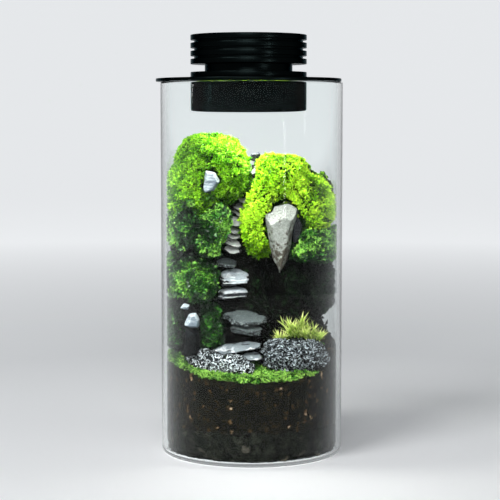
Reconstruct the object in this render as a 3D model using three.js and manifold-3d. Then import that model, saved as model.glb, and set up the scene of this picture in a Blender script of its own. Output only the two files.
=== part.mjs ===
// A planted glass jar: a straight glass cylinder with a lamp in its lid, and inside it gravel, soil,
// a stair of slates in a ravine between two moss hills, two lava rocks and a tuft of grass moss.
// Millimetres, +Z up. The origin is the centre of the jar's underside and -Y is the front.

import * as THREE from 'three';
import { mergeVertices } from 'three/addons/utils/BufferGeometryUtils.js';
import Module from 'manifold-3d';

const wasm = await Module();
wasm.setup();

// Driving dimensions

const GAP = 0.3;
const SHORTEST_EDGE = 1e-3;

const JAR = { radius: 50, wall: 2.5, base: 1.8, height: 203.4, foot: 2.2, corner: 1.5, rim: 1.25, facets: 48 };
const INSIDE = JAR.radius - JAR.wall;
const CONTENT_RADIUS = INSIDE - 0.6;

const PLATE = { radius: 50.8, thickness: 1.7, lift: JAR.height + GAP, hole: 14.3 };
const PLATE_TOP = PLATE.lift + PLATE.thickness;
const LID_SHIFT = -1.65;
const LID_FACETS = 28;

const SINK = { radius: 31.8, base: 3.2, neckRadius: 24, neck: 4.3, boss: 14 };
const FIN = { count: 4, thickness: 2.8, gap: 1.55, coreRadius: 29.8, chamfer: 0.4 };
const NECK_FOOT = PLATE_TOP + GAP + SINK.base;
const FIN_FOOT = NECK_FOOT + SINK.neck;
const FIN_PITCH = FIN.thickness + FIN.gap;
const SINK_TOP = FIN_FOOT + FIN.count * FIN_PITCH - FIN.gap;

const CUP = { radius: 31.8, wall: 2.2, floor: 2.5, depth: 17.1, ledge: 1.4, ledgeHeight: 1.2, ledgeTop: 4.3 };
const CUP_TOP = PLATE.lift - GAP;
const CUP_MOUTH = CUP_TOP - CUP.depth;
const CUP_BORE = CUP.radius - CUP.wall;
const CUP_CEILING = CUP_TOP - CUP.floor;

const BOARD = { radius: 26, thickness: 1.6 };
const BOARD_TOP = CUP_CEILING - GAP;
const CHIP = { radius: 9, thickness: 1.2 };
const DIFFUSER = { radius: CUP_BORE - GAP, thickness: 1.4 };
const RETAINER = { width: 2.1, thickness: 0.9 };
const RETAINER_FOOT = CUP_MOUTH + 0.2;

const SCREW = { ring: 20, shank: 1.3, head: 2.6, headHeight: 1.6, bite: 2.4, hole: 1.6, facets: 6 };
const INLET = { width: 9, height: 3.2, depth: 6.5, slotWidth: 7.8, slotHeight: 2.1, slotDepth: 5.2 };
const LEAD = { radius: 1.1, channel: 1.5, drop: 8, corner: 1.5, facets: 8 };
const INLET_LEVEL = NECK_FOOT + SINK.neck / 2;

const GRAVEL_TOP = 17;
const MOSS_THICKNESS = 3.4;

// Small tools for shapes

function rise(edge0, edge1, value) {
  return THREE.MathUtils.smoothstep(value, edge0, edge1);
}

function hash(x, y, z, seed) {
  const value = Math.sin(x * 127.1 + y * 311.7 + z * 74.7 + seed * 53.9) * 43758.5453;
  return value - Math.floor(value);
}

// Smooth noise from -1 to 1, about one bump per unit of length
function noise(x, y, z, seed) {
  const cell = [Math.floor(x), Math.floor(y), Math.floor(z)];
  const ease = [x - cell[0], y - cell[1], z - cell[2]].map((t) => t * t * (3 - 2 * t));
  let sum = 0;
  for (let corner = 0; corner < 8; corner += 1) {
    const step = [corner & 1, (corner >> 1) & 1, corner >> 2];
    const weight = step.reduce((w, s, axis) => w * (s ? ease[axis] : 1 - ease[axis]), 1);
    sum += weight * hash(cell[0] + step[0], cell[1] + step[1], cell[2] + step[2], seed);
  }
  return 2 * sum - 1;
}

function signedVolume(positions, triangles) {
  const [a, b, c] = [new THREE.Vector3(), new THREE.Vector3(), new THREE.Vector3()];
  let volume = 0;
  for (let i = 0; i < triangles.length; i += 3) {
    a.fromArray(positions, triangles[i] * 3);
    b.fromArray(positions, triangles[i + 1] * 3);
    c.fromArray(positions, triangles[i + 2] * 3);
    volume += a.dot(b.cross(c)) / 6;
  }
  return volume;
}

// Positions only, shared corners joined, no empty triangles, faces pointing out
function weld(source) {
  const loose = source.clone();
  loose.deleteAttribute('normal');
  loose.deleteAttribute('uv');
  const geometry = mergeVertices(loose, SHORTEST_EDGE);
  const index = Array.from(geometry.index.array);
  const kept = [];
  for (let i = 0; i < index.length; i += 3) {
    const [a, b, c] = index.slice(i, i + 3);
    if (a !== b && b !== c && c !== a) kept.push(a, b, c);
  }
  if (signedVolume(geometry.attributes.position.array, kept) < 0) kept.reverse();
  geometry.setIndex(kept);
  return geometry;
}

function solidOf(source) {
  const geometry = weld(source);
  const vertProperties = new Float32Array(geometry.attributes.position.array);
  const triVerts = new Uint32Array(geometry.index.array);
  return new wasm.Manifold(new wasm.Mesh({ numProp: 3, vertProperties, triVerts }));
}

function geometryOf(solid) {
  const mesh = solid.getMesh();
  const geometry = new THREE.BufferGeometry();
  geometry.setAttribute('position', new THREE.BufferAttribute(mesh.vertProperties, 3));
  geometry.setIndex(new THREE.BufferAttribute(mesh.triVerts, 1));
  return geometry;
}

// The biggest body of a cut solid, without loose scraps and sealed hollows
function mainBody(solid) {
  const bodies = solidOf(geometryOf(solid)).decompose();
  return bodies.reduce((best, body) => (body.volume() > best.volume() ? body : best));
}

function joined(solids) {
  return solids.reduce((sum, solid) => sum.add(solid));
}

function cut(solid, tools) {
  return tools.reduce((rest, tool) => rest.subtract(tool), solid);
}

// The same shape with its skin moved out, as a cutter that leaves a gap round its neighbour
function swollen(source, amount = 0.45) {
  const geometry = weld(source);
  geometry.computeVertexNormals();
  const { position, normal } = geometry.attributes;
  for (let i = 0; i < position.count; i += 1) {
    position.setXYZ(
      i,
      position.getX(i) + amount * normal.getX(i),
      position.getY(i) + amount * normal.getY(i),
      position.getZ(i) + amount * normal.getZ(i),
    );
  }
  return solidOf(geometry);
}

function turned(profile, facets) {
  const points = profile.map(([radius, height]) => new THREE.Vector2(radius, height));
  return new THREE.LatheGeometry(points, facets).rotateX(Math.PI / 2);
}

function rod(radius, from, to, facets) {
  const length = from.distanceTo(to);
  const geometry = new THREE.CylinderGeometry(radius, radius, length, facets);
  const turn = new THREE.Quaternion().setFromUnitVectors(
    new THREE.Vector3(0, 1, 0),
    to.clone().sub(from).normalize(),
  );
  const middle = from.clone().add(to).multiplyScalar(0.5);
  return geometry.applyQuaternion(turn).translate(middle.x, middle.y, middle.z);
}

// Every third vertex or so, no two of them neighbours: the tips of a tufted skin
function tuftTips(geometry) {
  const near = Array.from({ length: geometry.attributes.position.count }, () => new Set());
  const index = geometry.index.array;
  for (let i = 0; i < index.length; i += 3) {
    for (let k = 0; k < 3; k += 1) {
      near[index[i + k]].add(index[i + ((k + 1) % 3)]).add(index[i + ((k + 2) % 3)]);
    }
  }
  const tips = new Set();
  near.forEach((others, vertex) => {
    if (![...others].some((other) => tips.has(other))) tips.add(vertex);
  });
  return tips;
}

// A lumpy cushion, seen from its middle as one radius in every direction. Its skin can stand up in tufts.
function cushion({ at, size, square = 2.3, detail = 6, lumps = 0.08, tuft = 0, grow = 0, seed = 1 }) {
  const geometry = weld(new THREE.IcosahedronGeometry(1, detail));
  const tips = tuft > 0 ? tuftTips(geometry) : new Set();
  const { position } = geometry.attributes;
  const point = new THREE.Vector3();
  for (let i = 0; i < position.count; i += 1) {
    point.fromBufferAttribute(position, i);
    const [x, y, z] = point.toArray();
    const reach = (Math.abs(x) ** square + Math.abs(y) ** square + Math.abs(z) ** square) ** (-1 / square);
    const broad = noise(x * 2.2, y * 2.2, z * 2.2, seed);
    const fine = noise(x * 5, y * 5, z * 5, seed + 7);
    point.multiplyScalar(reach * (1 + lumps * (broad + 0.5 * fine)));
    point.multiply(new THREE.Vector3(...size));
    const raised = tips.has(i) ? tuft * (0.6 + 0.6 * hash(x, y, z, seed)) : 0;
    point.setLength(point.length() + grow + raised);
    position.setXYZ(i, point.x + at[0], point.y + at[1], point.z + at[2]);
  }
  return geometry;
}

// A tilt and place for flat stones: pitch dips the front edge, roll dips the right one, yaw turns it
function laid(geometry, { at, pitch = 0, roll = 0, yaw = 0 }) {
  const turn = new THREE.Euler(
    THREE.MathUtils.degToRad(pitch),
    THREE.MathUtils.degToRad(roll),
    THREE.MathUtils.degToRad(yaw),
    'ZXY',
  );
  return geometry.applyMatrix4(new THREE.Matrix4().makeRotationFromEuler(turn)).translate(...at);
}

// A flat split stone: an uneven round outline, thick in the middle and thin at its broken edge
function slate({ width, depth, thickness, points = 7, seed, ...lie }) {
  const outline = new THREE.Shape();
  for (let i = 0; i < points; i += 1) {
    const angle = ((i + 0.5 * hash(i, 1, 2, seed)) / points) * 2 * Math.PI;
    const reach = 0.42 + 0.1 * hash(i, 5, 3, seed);
    const [x, y] = [Math.cos(angle) * reach * width, Math.sin(angle) * reach * depth];
    if (i === 0) outline.moveTo(x, y);
    else outline.lineTo(x, y);
  }
  const bevel = Math.min(0.35 * thickness, 0.9);
  const geometry = new THREE.ExtrudeGeometry(outline, {
    depth: thickness - 2 * bevel,
    bevelThickness: bevel,
    bevelSize: 0.6 * bevel,
    bevelOffset: -0.6 * bevel,
    bevelSegments: 1,
  });
  return laid(geometry.translate(0, 0, bevel - thickness / 2), lie);
}

// The plain slot that a slate sits in
function slateSeat(spec) {
  const room = 3 * GAP;
  const seat = new THREE.BoxGeometry(spec.width + room, spec.depth + room, spec.thickness + room);
  return laid(seat, spec);
}

// An upright stone: its outline as seen from the front, crowned towards the viewer
function standingStone({ outline, front, thickness, crown = 0.8, lean = 0 }) {
  const shape = new THREE.Shape(outline.map(([x, z]) => new THREE.Vector2(x, z)));
  const bevel = 0.35 * thickness;
  const geometry = new THREE.ExtrudeGeometry(shape, {
    depth: thickness - 2 * bevel,
    bevelThickness: bevel,
    bevelSize: crown,
    bevelOffset: -crown,
    bevelSegments: 1,
  });
  geometry.translate(0, 0, bevel - thickness).rotateX(Math.PI / 2);
  const middle = outline.reduce((sum, [, z]) => sum + z, 0) / outline.length;
  geometry.translate(0, 0, -middle).rotateX(THREE.MathUtils.degToRad(lean));
  return geometry.translate(0, front, middle);
}

// A layer that fills the jar from side to side, with grains pressed against the glass
function layer({ bottom, top, radius, foot = 0, rings, rows, columns, grain, seed }) {
  const vertices = [];
  const faces = [];
  const ringAt = (r, heightAt, bump) => {
    const first = vertices.length / 3;
    for (let i = 0; i < columns; i += 1) {
      const angle = (i / columns) * 2 * Math.PI;
      const reach = r - bump * grain * hash(i, r, first, seed);
      const [x, y] = [Math.cos(angle) * reach, Math.sin(angle) * reach];
      vertices.push(x, y, heightAt(x, y) + (1 - bump) * grain * (hash(i, first, 4, seed) - 0.5));
    }
    return first;
  };
  const bridge = (lower, upper) => {
    for (let i = 0; i < columns; i += 1) {
      const next = (i + 1) % columns;
      faces.push(lower + i, lower + next, upper + next, lower + i, upper + next, upper + i);
    }
  };
  const cap = (ring, height) => {
    const centre = vertices.length / 3;
    vertices.push(0, 0, height);
    for (let i = 0; i < columns; i += 1) faces.push(ring + i, ring + ((i + 1) % columns), centre);
  };
  const floor = ringAt(radius - foot, bottom, 1);
  const centre = vertices.length / 3;
  vertices.push(0, 0, bottom(0, 0));
  for (let i = 0; i < columns; i += 1) faces.push(floor + ((i + 1) % columns), floor + i, centre);
  let last = floor;
  for (let row = 1; row <= rows; row += 1) {
    const share = row / rows;
    const ring = ringAt(radius, (x, y) => bottom(x, y) + share * (top(x, y) - bottom(x, y)), 1);
    bridge(last, ring);
    last = ring;
  }
  for (let ring = rings - 1; ring > 0; ring -= 1) {
    const next = ringAt((radius * ring) / rings, top, 0);
    bridge(last, next);
    last = next;
  }
  cap(last, top(0, 0));
  const geometry = new THREE.BufferGeometry();
  geometry.setAttribute('position', new THREE.Float32BufferAttribute(vertices, 3));
  geometry.setIndex(faces);
  return geometry;
}

// A three-sided blade that starts upright at its root and bows over to its tip
function blade({ root, heading, spread, length, width }) {
  const steps = 2;
  const vertices = [];
  const faces = [2, 1, 0];
  const side = new THREE.Vector3(-Math.sin(heading), Math.cos(heading), 0);
  const spine = new THREE.Vector3(...root);
  for (let step = 0; step < steps; step += 1) {
    const bow = spread * (0.35 + (0.75 * step) / steps);
    const along = new THREE.Vector3(
      Math.cos(heading) * Math.sin(bow),
      Math.sin(heading) * Math.sin(bow),
      Math.cos(bow),
    );
    const upper = side.clone().cross(along).normalize();
    const half = 0.5 * width * (1 - 0.3 * step);
    const corners = [
      side.clone().multiplyScalar(half),
      side.clone().multiplyScalar(-half),
      upper.multiplyScalar(1.2 * half),
    ];
    corners.forEach((corner) => vertices.push(...spine.clone().add(corner).toArray()));
    if (step > 0) {
      const base = 3 * step;
      for (let k = 0; k < 3; k += 1) {
        const next = (k + 1) % 3;
        faces.push(base - 3 + k, base - 3 + next, base + next, base - 3 + k, base + next, base + k);
      }
    }
    spine.addScaledVector(along, length / steps);
  }
  vertices.push(...spine.toArray());
  const last = 3 * (steps - 1);
  for (let k = 0; k < 3; k += 1) faces.push(last + k, last + ((k + 1) % 3), last + 3);
  const geometry = new THREE.BufferGeometry();
  geometry.setAttribute('position', new THREE.Float32BufferAttribute(vertices, 3));
  geometry.setIndex(faces);
  return geometry;
}

// Finishes: colour, roughness and metalness of each material

const FINISH = {
  glass: [0xdfe9ea, 0.04, 0],
  anodised: [0x0c0d0f, 0.35, 0.85],
  board: [0xe9ebe6, 0.5, 0.1],
  chip: [0xf2d96b, 0.4, 0],
  diffuser: [0xf6f8f6, 0.6, 0],
  steel: [0xb8bcc0, 0.3, 1],
  wire: [0x16181a, 0.5, 0],
  gravel: [0x6a6458, 0.85, 0],
  soil: [0x241c12, 0.95, 0],
  bank: [0x14150f, 0.95, 0],
  brightMoss: [0x6fc21c, 0.9, 0],
  leafMoss: [0x2f7d18, 0.85, 0],
  darkMoss: [0x143a10, 0.9, 0],
  carpet: [0x4f9a1e, 0.9, 0],
  tuft: [0xa8c44a, 0.8, 0],
  slate: [0x5d666f, 0.6, 0],
  paleStone: [0xc9c7bd, 0.8, 0],
  blueStone: [0xaeb9c6, 0.7, 0],
  darkStone: [0x26292c, 0.8, 0],
  lava: [0x1f2226, 0.75, 0],
};

const terrarium = new THREE.Group();

function place(name, shape, finish, shift = 0) {
  const [color, roughness, metalness] = FINISH[finish];
  const geometry = shape instanceof THREE.BufferGeometry ? weld(shape) : geometryOf(shape);
  geometry.computeVertexNormals();
  const material = new THREE.MeshStandardMaterial({ color, roughness, metalness });
  const mesh = new THREE.Mesh(geometry, material);
  mesh.name = name;
  mesh.position.x = shift;
  terrarium.add(mesh);
}

// The glass jar

function jar() {
  const { radius, base, height, foot, corner, rim, facets } = JAR;
  const inner = INSIDE;
  const diagonal = Math.SQRT1_2;
  return turned(
    [
      [0, 0],
      [radius - foot, 0],
      [radius - foot + foot * diagonal, foot - foot * diagonal],
      [radius, foot],
      [radius, height - rim],
      [radius - 0.7 * rim, height],
      [inner + 0.7 * rim, height],
      [inner, height - rim],
      [inner, base + corner],
      [inner - corner, base],
      [0, base],
    ],
    facets,
  );
}

// The lamp lid

function screwAxes() {
  return [0, 1, 2].map((k) => {
    const angle = ((k + 0.25) / 3) * 2 * Math.PI;
    return [SCREW.ring * Math.cos(angle), SCREW.ring * Math.sin(angle)];
  });
}

function drilled(solid, from, to) {
  const holes = screwAxes().map(([x, y]) =>
    solidOf(rod(SCREW.hole, new THREE.Vector3(x, y, from), new THREE.Vector3(x, y, to), SCREW.facets)),
  );
  return cut(solid, holes);
}

function heatSink() {
  const profile = [
    [0, CUP_CEILING],
    [SINK.boss, CUP_CEILING],
    [SINK.boss, PLATE_TOP + GAP],
    [SINK.radius, PLATE_TOP + GAP],
    [SINK.radius, NECK_FOOT],
    [SINK.neckRadius, NECK_FOOT],
    [SINK.neckRadius, FIN_FOOT],
  ];
  for (let fin = 0; fin < FIN.count; fin += 1) {
    const foot = FIN_FOOT + fin * FIN_PITCH;
    if (fin > 0) profile.push([FIN.coreRadius, foot]);
    profile.push([SINK.radius, foot]);
    if (fin < FIN.count - 1) {
      profile.push([SINK.radius, foot + FIN.thickness], [FIN.coreRadius, foot + FIN.thickness]);
    }
  }
  profile.push([SINK.radius, SINK_TOP - FIN.chamfer], [SINK.radius - FIN.chamfer, SINK_TOP], [0, SINK_TOP]);
  const body = drilled(
    solidOf(turned(profile, LID_FACETS)),
    PLATE_TOP,
    PLATE_TOP + GAP + SCREW.bite + GAP,
  );
  const pocket = new THREE.BoxGeometry(
    INLET.width + 2 * GAP,
    INLET.depth + 2 * GAP,
    INLET.height + 2 * GAP,
  ).translate(0, SINK.neckRadius - INLET.depth / 2 + 0.2, INLET_LEVEL);
  const bend = new THREE.Vector3(0, LEAD.drop, INLET_LEVEL);
  const along = rod(
    LEAD.channel,
    new THREE.Vector3(0, SINK.neckRadius - INLET.depth / 2, INLET_LEVEL),
    bend,
    LEAD.facets,
  );
  const down = rod(
    LEAD.channel,
    new THREE.Vector3(0, LEAD.drop, INLET_LEVEL + LEAD.channel),
    new THREE.Vector3(0, LEAD.drop, CUP_CEILING - 1),
    LEAD.facets,
  );
  return mainBody(cut(body, [pocket, along, down].map((shape) => solidOf(shape))));
}

function lidPlate() {
  const disc = turned(
    [
      [PLATE.hole, PLATE.lift],
      [PLATE.radius, PLATE.lift],
      [PLATE.radius, PLATE_TOP],
      [PLATE.hole, PLATE_TOP],
      [PLATE.hole, PLATE.lift],
    ],
    JAR.facets,
  );
  return drilled(solidOf(disc), PLATE.lift - 1, PLATE_TOP + 1);
}

function lampHousing() {
  const ledgeTop = CUP_MOUTH + CUP.ledgeTop;
  const ledgeFoot = ledgeTop - CUP.ledgeHeight;
  const cup = turned(
    [
      [PLATE.hole, CUP_CEILING],
      [CUP_BORE, CUP_CEILING],
      [CUP_BORE, ledgeTop],
      [CUP_BORE - CUP.ledge, ledgeTop],
      [CUP_BORE - CUP.ledge, ledgeFoot],
      [CUP_BORE, ledgeFoot],
      [CUP_BORE, CUP_MOUTH],
      [CUP.radius, CUP_MOUTH],
      [CUP.radius, CUP_TOP],
      [PLATE.hole, CUP_TOP],
      [PLATE.hole, CUP_CEILING],
    ],
    LID_FACETS,
  );
  return drilled(solidOf(cup), CUP_CEILING - 1, CUP_TOP + 1);
}

function disc(radius, bottom, top, facets) {
  return turned([[0, bottom], [radius, bottom], [radius, top], [0, top]], facets);
}

function screw([x, y]) {
  const headTop = BOARD_TOP - BOARD.thickness - GAP;
  const tip = PLATE_TOP + GAP + SCREW.bite;
  return turned(
    [
      [0, headTop - SCREW.headHeight],
      [SCREW.head, headTop - SCREW.headHeight],
      [SCREW.head, headTop],
      [SCREW.shank, headTop],
      [SCREW.shank, tip],
      [0, tip],
    ],
    SCREW.facets,
  ).translate(x, y, 0);
}

function powerInlet() {
  const shell = new THREE.BoxGeometry(INLET.width, INLET.depth, INLET.height);
  const slot = new THREE.BoxGeometry(INLET.slotWidth, INLET.slotDepth, INLET.slotHeight);
  slot.translate(0, (INLET.depth - INLET.slotDepth) / 2 + 0.1, 0);
  const back = SINK.neckRadius - INLET.depth / 2;
  const [body, socket] = [shell, slot].map((shape) => solidOf(shape.translate(0, back, INLET_LEVEL)));
  return body.subtract(socket);
}

function innerLead() {
  const start = SINK.neckRadius - INLET.depth - 2 * GAP;
  const section = new THREE.Shape();
  section.absarc(0, 0, LEAD.radius, 0, 2 * Math.PI);
  const { corner } = LEAD;
  const route = new THREE.CurvePath();
  route.add(new THREE.LineCurve3(
    new THREE.Vector3(0, start, INLET_LEVEL),
    new THREE.Vector3(0, LEAD.drop + corner, INLET_LEVEL),
  ));
  route.add(new THREE.QuadraticBezierCurve3(
    new THREE.Vector3(0, LEAD.drop + corner, INLET_LEVEL),
    new THREE.Vector3(0, LEAD.drop, INLET_LEVEL),
    new THREE.Vector3(0, LEAD.drop, INLET_LEVEL - corner),
  ));
  route.add(new THREE.LineCurve3(
    new THREE.Vector3(0, LEAD.drop, INLET_LEVEL - corner),
    new THREE.Vector3(0, LEAD.drop, BOARD_TOP + GAP),
  ));
  return new THREE.ExtrudeGeometry(section, { steps: 9, extrudePath: route, curveSegments: LEAD.facets / 2 });
}

function addLid() {
  const boardFoot = BOARD_TOP - BOARD.thickness;
  const board = solidOf(disc(BOARD.radius, boardFoot, BOARD_TOP, LID_FACETS));
  const chipTop = boardFoot - GAP;
  const retainerTop = RETAINER_FOOT + RETAINER.thickness;
  const retainer = turned(
    [
      [DIFFUSER.radius - RETAINER.width, RETAINER_FOOT],
      [DIFFUSER.radius, RETAINER_FOOT],
      [DIFFUSER.radius, retainerTop],
      [DIFFUSER.radius - RETAINER.width, retainerTop],
      [DIFFUSER.radius - RETAINER.width, RETAINER_FOOT],
    ],
    LID_FACETS,
  );
  const diffuserFoot = retainerTop + GAP;
  place('heat_sink', heatSink(), 'anodised', LID_SHIFT);
  place('lid_plate', lidPlate(), 'anodised', LID_SHIFT);
  place('lamp_housing', lampHousing(), 'anodised', LID_SHIFT);
  place('led_board', drilled(board, boardFoot - 1, BOARD_TOP + 1), 'board', LID_SHIFT);
  place('led_chip', disc(CHIP.radius, chipTop - CHIP.thickness, chipTop, 24), 'chip', LID_SHIFT);
  place(
    'diffuser',
    disc(DIFFUSER.radius, diffuserFoot, diffuserFoot + DIFFUSER.thickness, LID_FACETS),
    'diffuser',
    LID_SHIFT,
  );
  place('diffuser_retainer', retainer, 'anodised', LID_SHIFT);
  screwAxes().forEach((axis, k) => place(`lamp_screw_${k + 1}`, screw(axis), 'steel', LID_SHIFT));
  place('power_inlet', powerInlet(), 'steel', LID_SHIFT);
  place('inner_lead', innerLead(), 'wire', LID_SHIFT);
}

// Ground level of the soil: lowest at the front glass, rising to the back and banked up at the right
function ground(x, y) {
  const slope = 44 + 0.12 * (y + 47) + 0.0012 * x * x - 0.02 * x;
  const bank = 9 * rise(34, 46, x) * rise(-34, -12, y);
  return slope + bank;
}

function gravelLayer() {
  return layer({
    bottom: () => JAR.base + GAP,
    top: (x, y) => GRAVEL_TOP + 0.6 * noise(x / 9, y / 9, 0, 3),
    radius: CONTENT_RADIUS,
    foot: 2.2,
    rings: 2,
    rows: 2,
    columns: 32,
    grain: 0.9,
    seed: 11,
  });
}

function soilLayer() {
  return layer({
    bottom: (x, y) => GRAVEL_TOP + 1.3 + 0.6 * noise(x / 9, y / 9, 0, 3),
    top: ground,
    radius: CONTENT_RADIUS,
    rings: 2,
    rows: 4,
    columns: 32,
    grain: 1,
    seed: 23,
  });
}

// The stair of slates, from the ravine's mouth to its top

const SLATES = [
  { at: [0, -27, 55.2], width: 16, depth: 13, thickness: 2.4, pitch: 8, roll: -4, yaw: 10, seed: 3 },
  { at: [-7, -24, 60], width: 31, depth: 16, thickness: 2, pitch: 9, roll: -5, yaw: 4, seed: 8 },
  { at: [-2, -18, 68.6], width: 24, depth: 16, thickness: 3.8, pitch: 1, roll: 2, yaw: -8, seed: 12 },
  { at: [-4, -17, 75], width: 29, depth: 19, thickness: 3, pitch: 10, roll: 2, yaw: 6, seed: 17 },
  { at: [-12, -14, 87.4], width: 21, depth: 15, thickness: 5.4, pitch: 2, roll: -3, yaw: -5, seed: 21 },
  { at: [-10.5, -13, 95.8], width: 22, depth: 19, thickness: 2.6, pitch: 17, roll: -2, yaw: 9, seed: 26 },
  { at: [-13, -10, 103.6], width: 17, depth: 13, thickness: 3, pitch: 7, roll: 6, yaw: -14, seed: 31 },
  { at: [-10, -11, 110.3], width: 14, depth: 12, thickness: 2, pitch: 13, roll: -4, yaw: 12, seed: 35 },
  { at: [-11, -11, 114.6], width: 14.5, depth: 12, thickness: 1.8, pitch: 12, roll: 7, yaw: -6, seed: 40 },
  { at: [-10.4, -11, 118], width: 13, depth: 11, thickness: 1.4, pitch: 8, roll: 4, yaw: 5, seed: 44 },
  { at: [-9, -10, 121], width: 10.5, depth: 10, thickness: 1.4, pitch: 10, roll: 6, yaw: -10, seed: 49 },
  { at: [-8, -10, 125.2], width: 11, depth: 13, thickness: 2, pitch: 19, roll: -3, yaw: 14, seed: 53 },
  { at: [-7.5, -6.5, 130], width: 9.5, depth: 15, thickness: 1.4, pitch: 11, roll: 7, yaw: -7, seed: 58 },
  { at: [-7, -5.5, 133.2], width: 8.5, depth: 14, thickness: 1.2, pitch: 10, roll: 6, yaw: 8, seed: 62 },
  { at: [-4.5, -5.5, 137], width: 7, depth: 8, thickness: 1.4, pitch: 9, roll: -6, yaw: 0, seed: 67 },
];

// Single stones, by their outline from the front as pairs of x and z

const STONES = {
  pale_wedge: {
    finish: 'paleStone',
    front: -32,
    thickness: 14,
    crown: 2.6,
    lean: -4,
    outline: [
      [7.2, 132], [11.2, 133.7], [12.4, 137.4], [17.2, 139.8], [20.8, 138], [24.6, 134.7], [24.3, 130.6],
      [22.4, 127], [21.4, 119], [19.6, 110.6], [15.5, 100.6], [11.2, 109.6], [8.6, 121],
    ],
  },
  dark_shard: {
    finish: 'darkStone',
    front: -28,
    thickness: 9,
    outline: [[20.6, 118], [20, 126.5], [23.5, 131.5], [27, 129], [26.6, 122], [23.6, 115]],
  },
  blue_stone: {
    finish: 'blueStone',
    front: -31,
    thickness: 12,
    lean: -6,
    outline: [[-25.4, 146], [-24.4, 156.2], [-19.4, 154.8], [-17, 150.4], [-19.6, 145.6], [-24.2, 143.2]],
  },
  saddle_stone: {
    finish: 'paleStone',
    front: 4,
    thickness: 8,
    outline: [[-3, 158], [-1, 163.6], [4.6, 164.2], [7, 160.6], [4, 156]],
  },
  ravine_stone: {
    finish: 'paleStone',
    front: -3,
    thickness: 7,
    outline: [[-4.6, 142], [-2.6, 147.4], [1.4, 154.6], [4.4, 155.4], [3.6, 149], [-0.6, 140.6]],
  },
  left_stone_top: {
    finish: 'paleStone',
    front: -30,
    thickness: 7,
    outline: [[-37.4, 82.2], [-35.8, 84.6], [-32.8, 84], [-33.4, 81.2]],
  },
  left_stone: {
    finish: 'paleStone',
    front: -31,
    thickness: 9,
    outline: [[-35.6, 73.2], [-33.4, 78.6], [-29.4, 79.8], [-27.4, 75.6], [-28.2, 71.8], [-32, 72]],
  },
  left_post: {
    finish: 'darkStone',
    front: -30,
    thickness: 9,
    outline: [[-35.6, 56], [-35.2, 72.2], [-32, 71.2], [-27.8, 70.8], [-28, 57]],
  },
};

const LAVA = {
  lava_rock_left: {
    at: [-17, -27.5, 52.6], size: [19.8, 8, 6.3], turn: -34, lumps: 0.16, detail: 4, seed: 71,
  },
  lava_rock_right: {
    at: [22.5, -24.6, 56.3], size: [18, 10.8, 8.9], turn: 11, lumps: 0.14, detail: 4, seed: 83,
  },
};

function lavaRock({ at, turn, ...spec }) {
  return cushion({ at: [0, 0, 0], square: 2.5, tuft: 0.9, ...spec })
    .rotateZ(THREE.MathUtils.degToRad(turn))
    .translate(...at);
}

// The bank of earth and rock that carries the moss, left open at the lower right as a dark recess

const BANK = [
  { at: [0, 27, 58], size: [50, 30, 26], square: 3.5 },
  { at: [-28, 8, 84], size: [22, 27, 54] },
  { at: [-24, 16, 124], size: [24, 24, 40] },
  { at: [-6, 9, 66], size: [20, 27, 26] },
  { at: [-7, 17, 104], size: [18, 25, 36] },
  { at: [-4.5, 17, 141], size: [14, 21.5, 17] },
  { at: [25, 32, 96], size: [26, 20, 60] },
  { at: [23, 8, 134], size: [21, 24, 22] },
];

// The open channel between the hills that the stair climbs
const RAVINE = { at: [-10, -8, 119], size: [12.5, 13, 34], detail: 2, lumps: 0.05, seed: 5 };

// Moss, each patch a group of cushions that grew together

const MOSS = {
  moss_hill_left: {
    finish: 'brightMoss',
    cushions: [
      { at: [-22, 4, 149], size: [22.5, 30, 26], detail: 4, tuft: 1.9 },
      { at: [-31, -6, 143], size: [16, 22, 18], detail: 3, tuft: 1.6 },
      { at: [-10, -3, 150], size: [10.5, 22, 17], detail: 3, tuft: 1.5 },
    ],
  },
  moss_ledge_left: {
    finish: 'leafMoss',
    cushions: [
      { at: [-35, -10, 130], size: [13, 21, 17], detail: 3, tuft: 1.7 },
      { at: [-20, -15, 129], size: [10.5, 14, 15], detail: 3, tuft: 1.7 },
      { at: [-23, -15, 116], size: [8, 13, 7.5], detail: 2, tuft: 1.5 },
    ],
  },
  moss_clump_left: {
    finish: 'leafMoss',
    cushions: [
      { at: [-27.5, -18, 96], size: [9.5, 14, 11], detail: 4, tuft: 1.5 },
      { at: [-38.5, -10, 99], size: [10, 18, 13], detail: 3, tuft: 1.5 },
    ],
  },
  moss_low_left: {
    finish: 'leafMoss',
    cushions: [{ at: [-42, -8, 73], size: [7, 17, 15], detail: 2, tuft: 1.4 }],
  },
  moss_low_middle: {
    finish: 'leafMoss',
    cushions: [{ at: [-22.5, -14, 71], size: [6.8, 12, 14.5], detail: 3, tuft: 1.4 }],
  },
  moss_hill_right: {
    finish: 'brightMoss',
    cushions: [
      { at: [16, 2, 146], size: [18.5, 29, 17.5], detail: 4, tuft: 1.8 },
      { at: [30, -2, 136], size: [17, 27, 17.5], square: 2, detail: 3, tuft: 1.7 },
      { at: [4, -14, 128], size: [11.4, 15, 20], detail: 3, tuft: 1.6 },
    ],
  },
  moss_clump_right: {
    finish: 'leafMoss',
    cushions: [
      { at: [30, -15, 116.5], size: [11, 15, 10], detail: 3, tuft: 1.5 },
      { at: [39, -8, 116], size: [9.5, 15, 11], detail: 2, tuft: 1.5 },
    ],
  },
  moss_recess: {
    finish: 'darkMoss',
    cushions: [
      { at: [25, 10, 97], size: [6, 7, 16], detail: 2, tuft: 1.4 },
      { at: [38.5, 8, 93], size: [10, 17, 19], detail: 2, tuft: 1.4 },
    ],
  },
};

const TUFT = { at: [26, -22, 64.4], size: [13.5, 4.5, 3], blades: 32, seed: 97 };

function tuftCore(grow = 0) {
  return cushion({ at: TUFT.at, size: TUFT.size, detail: 2, grow, seed: TUFT.seed });
}

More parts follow.
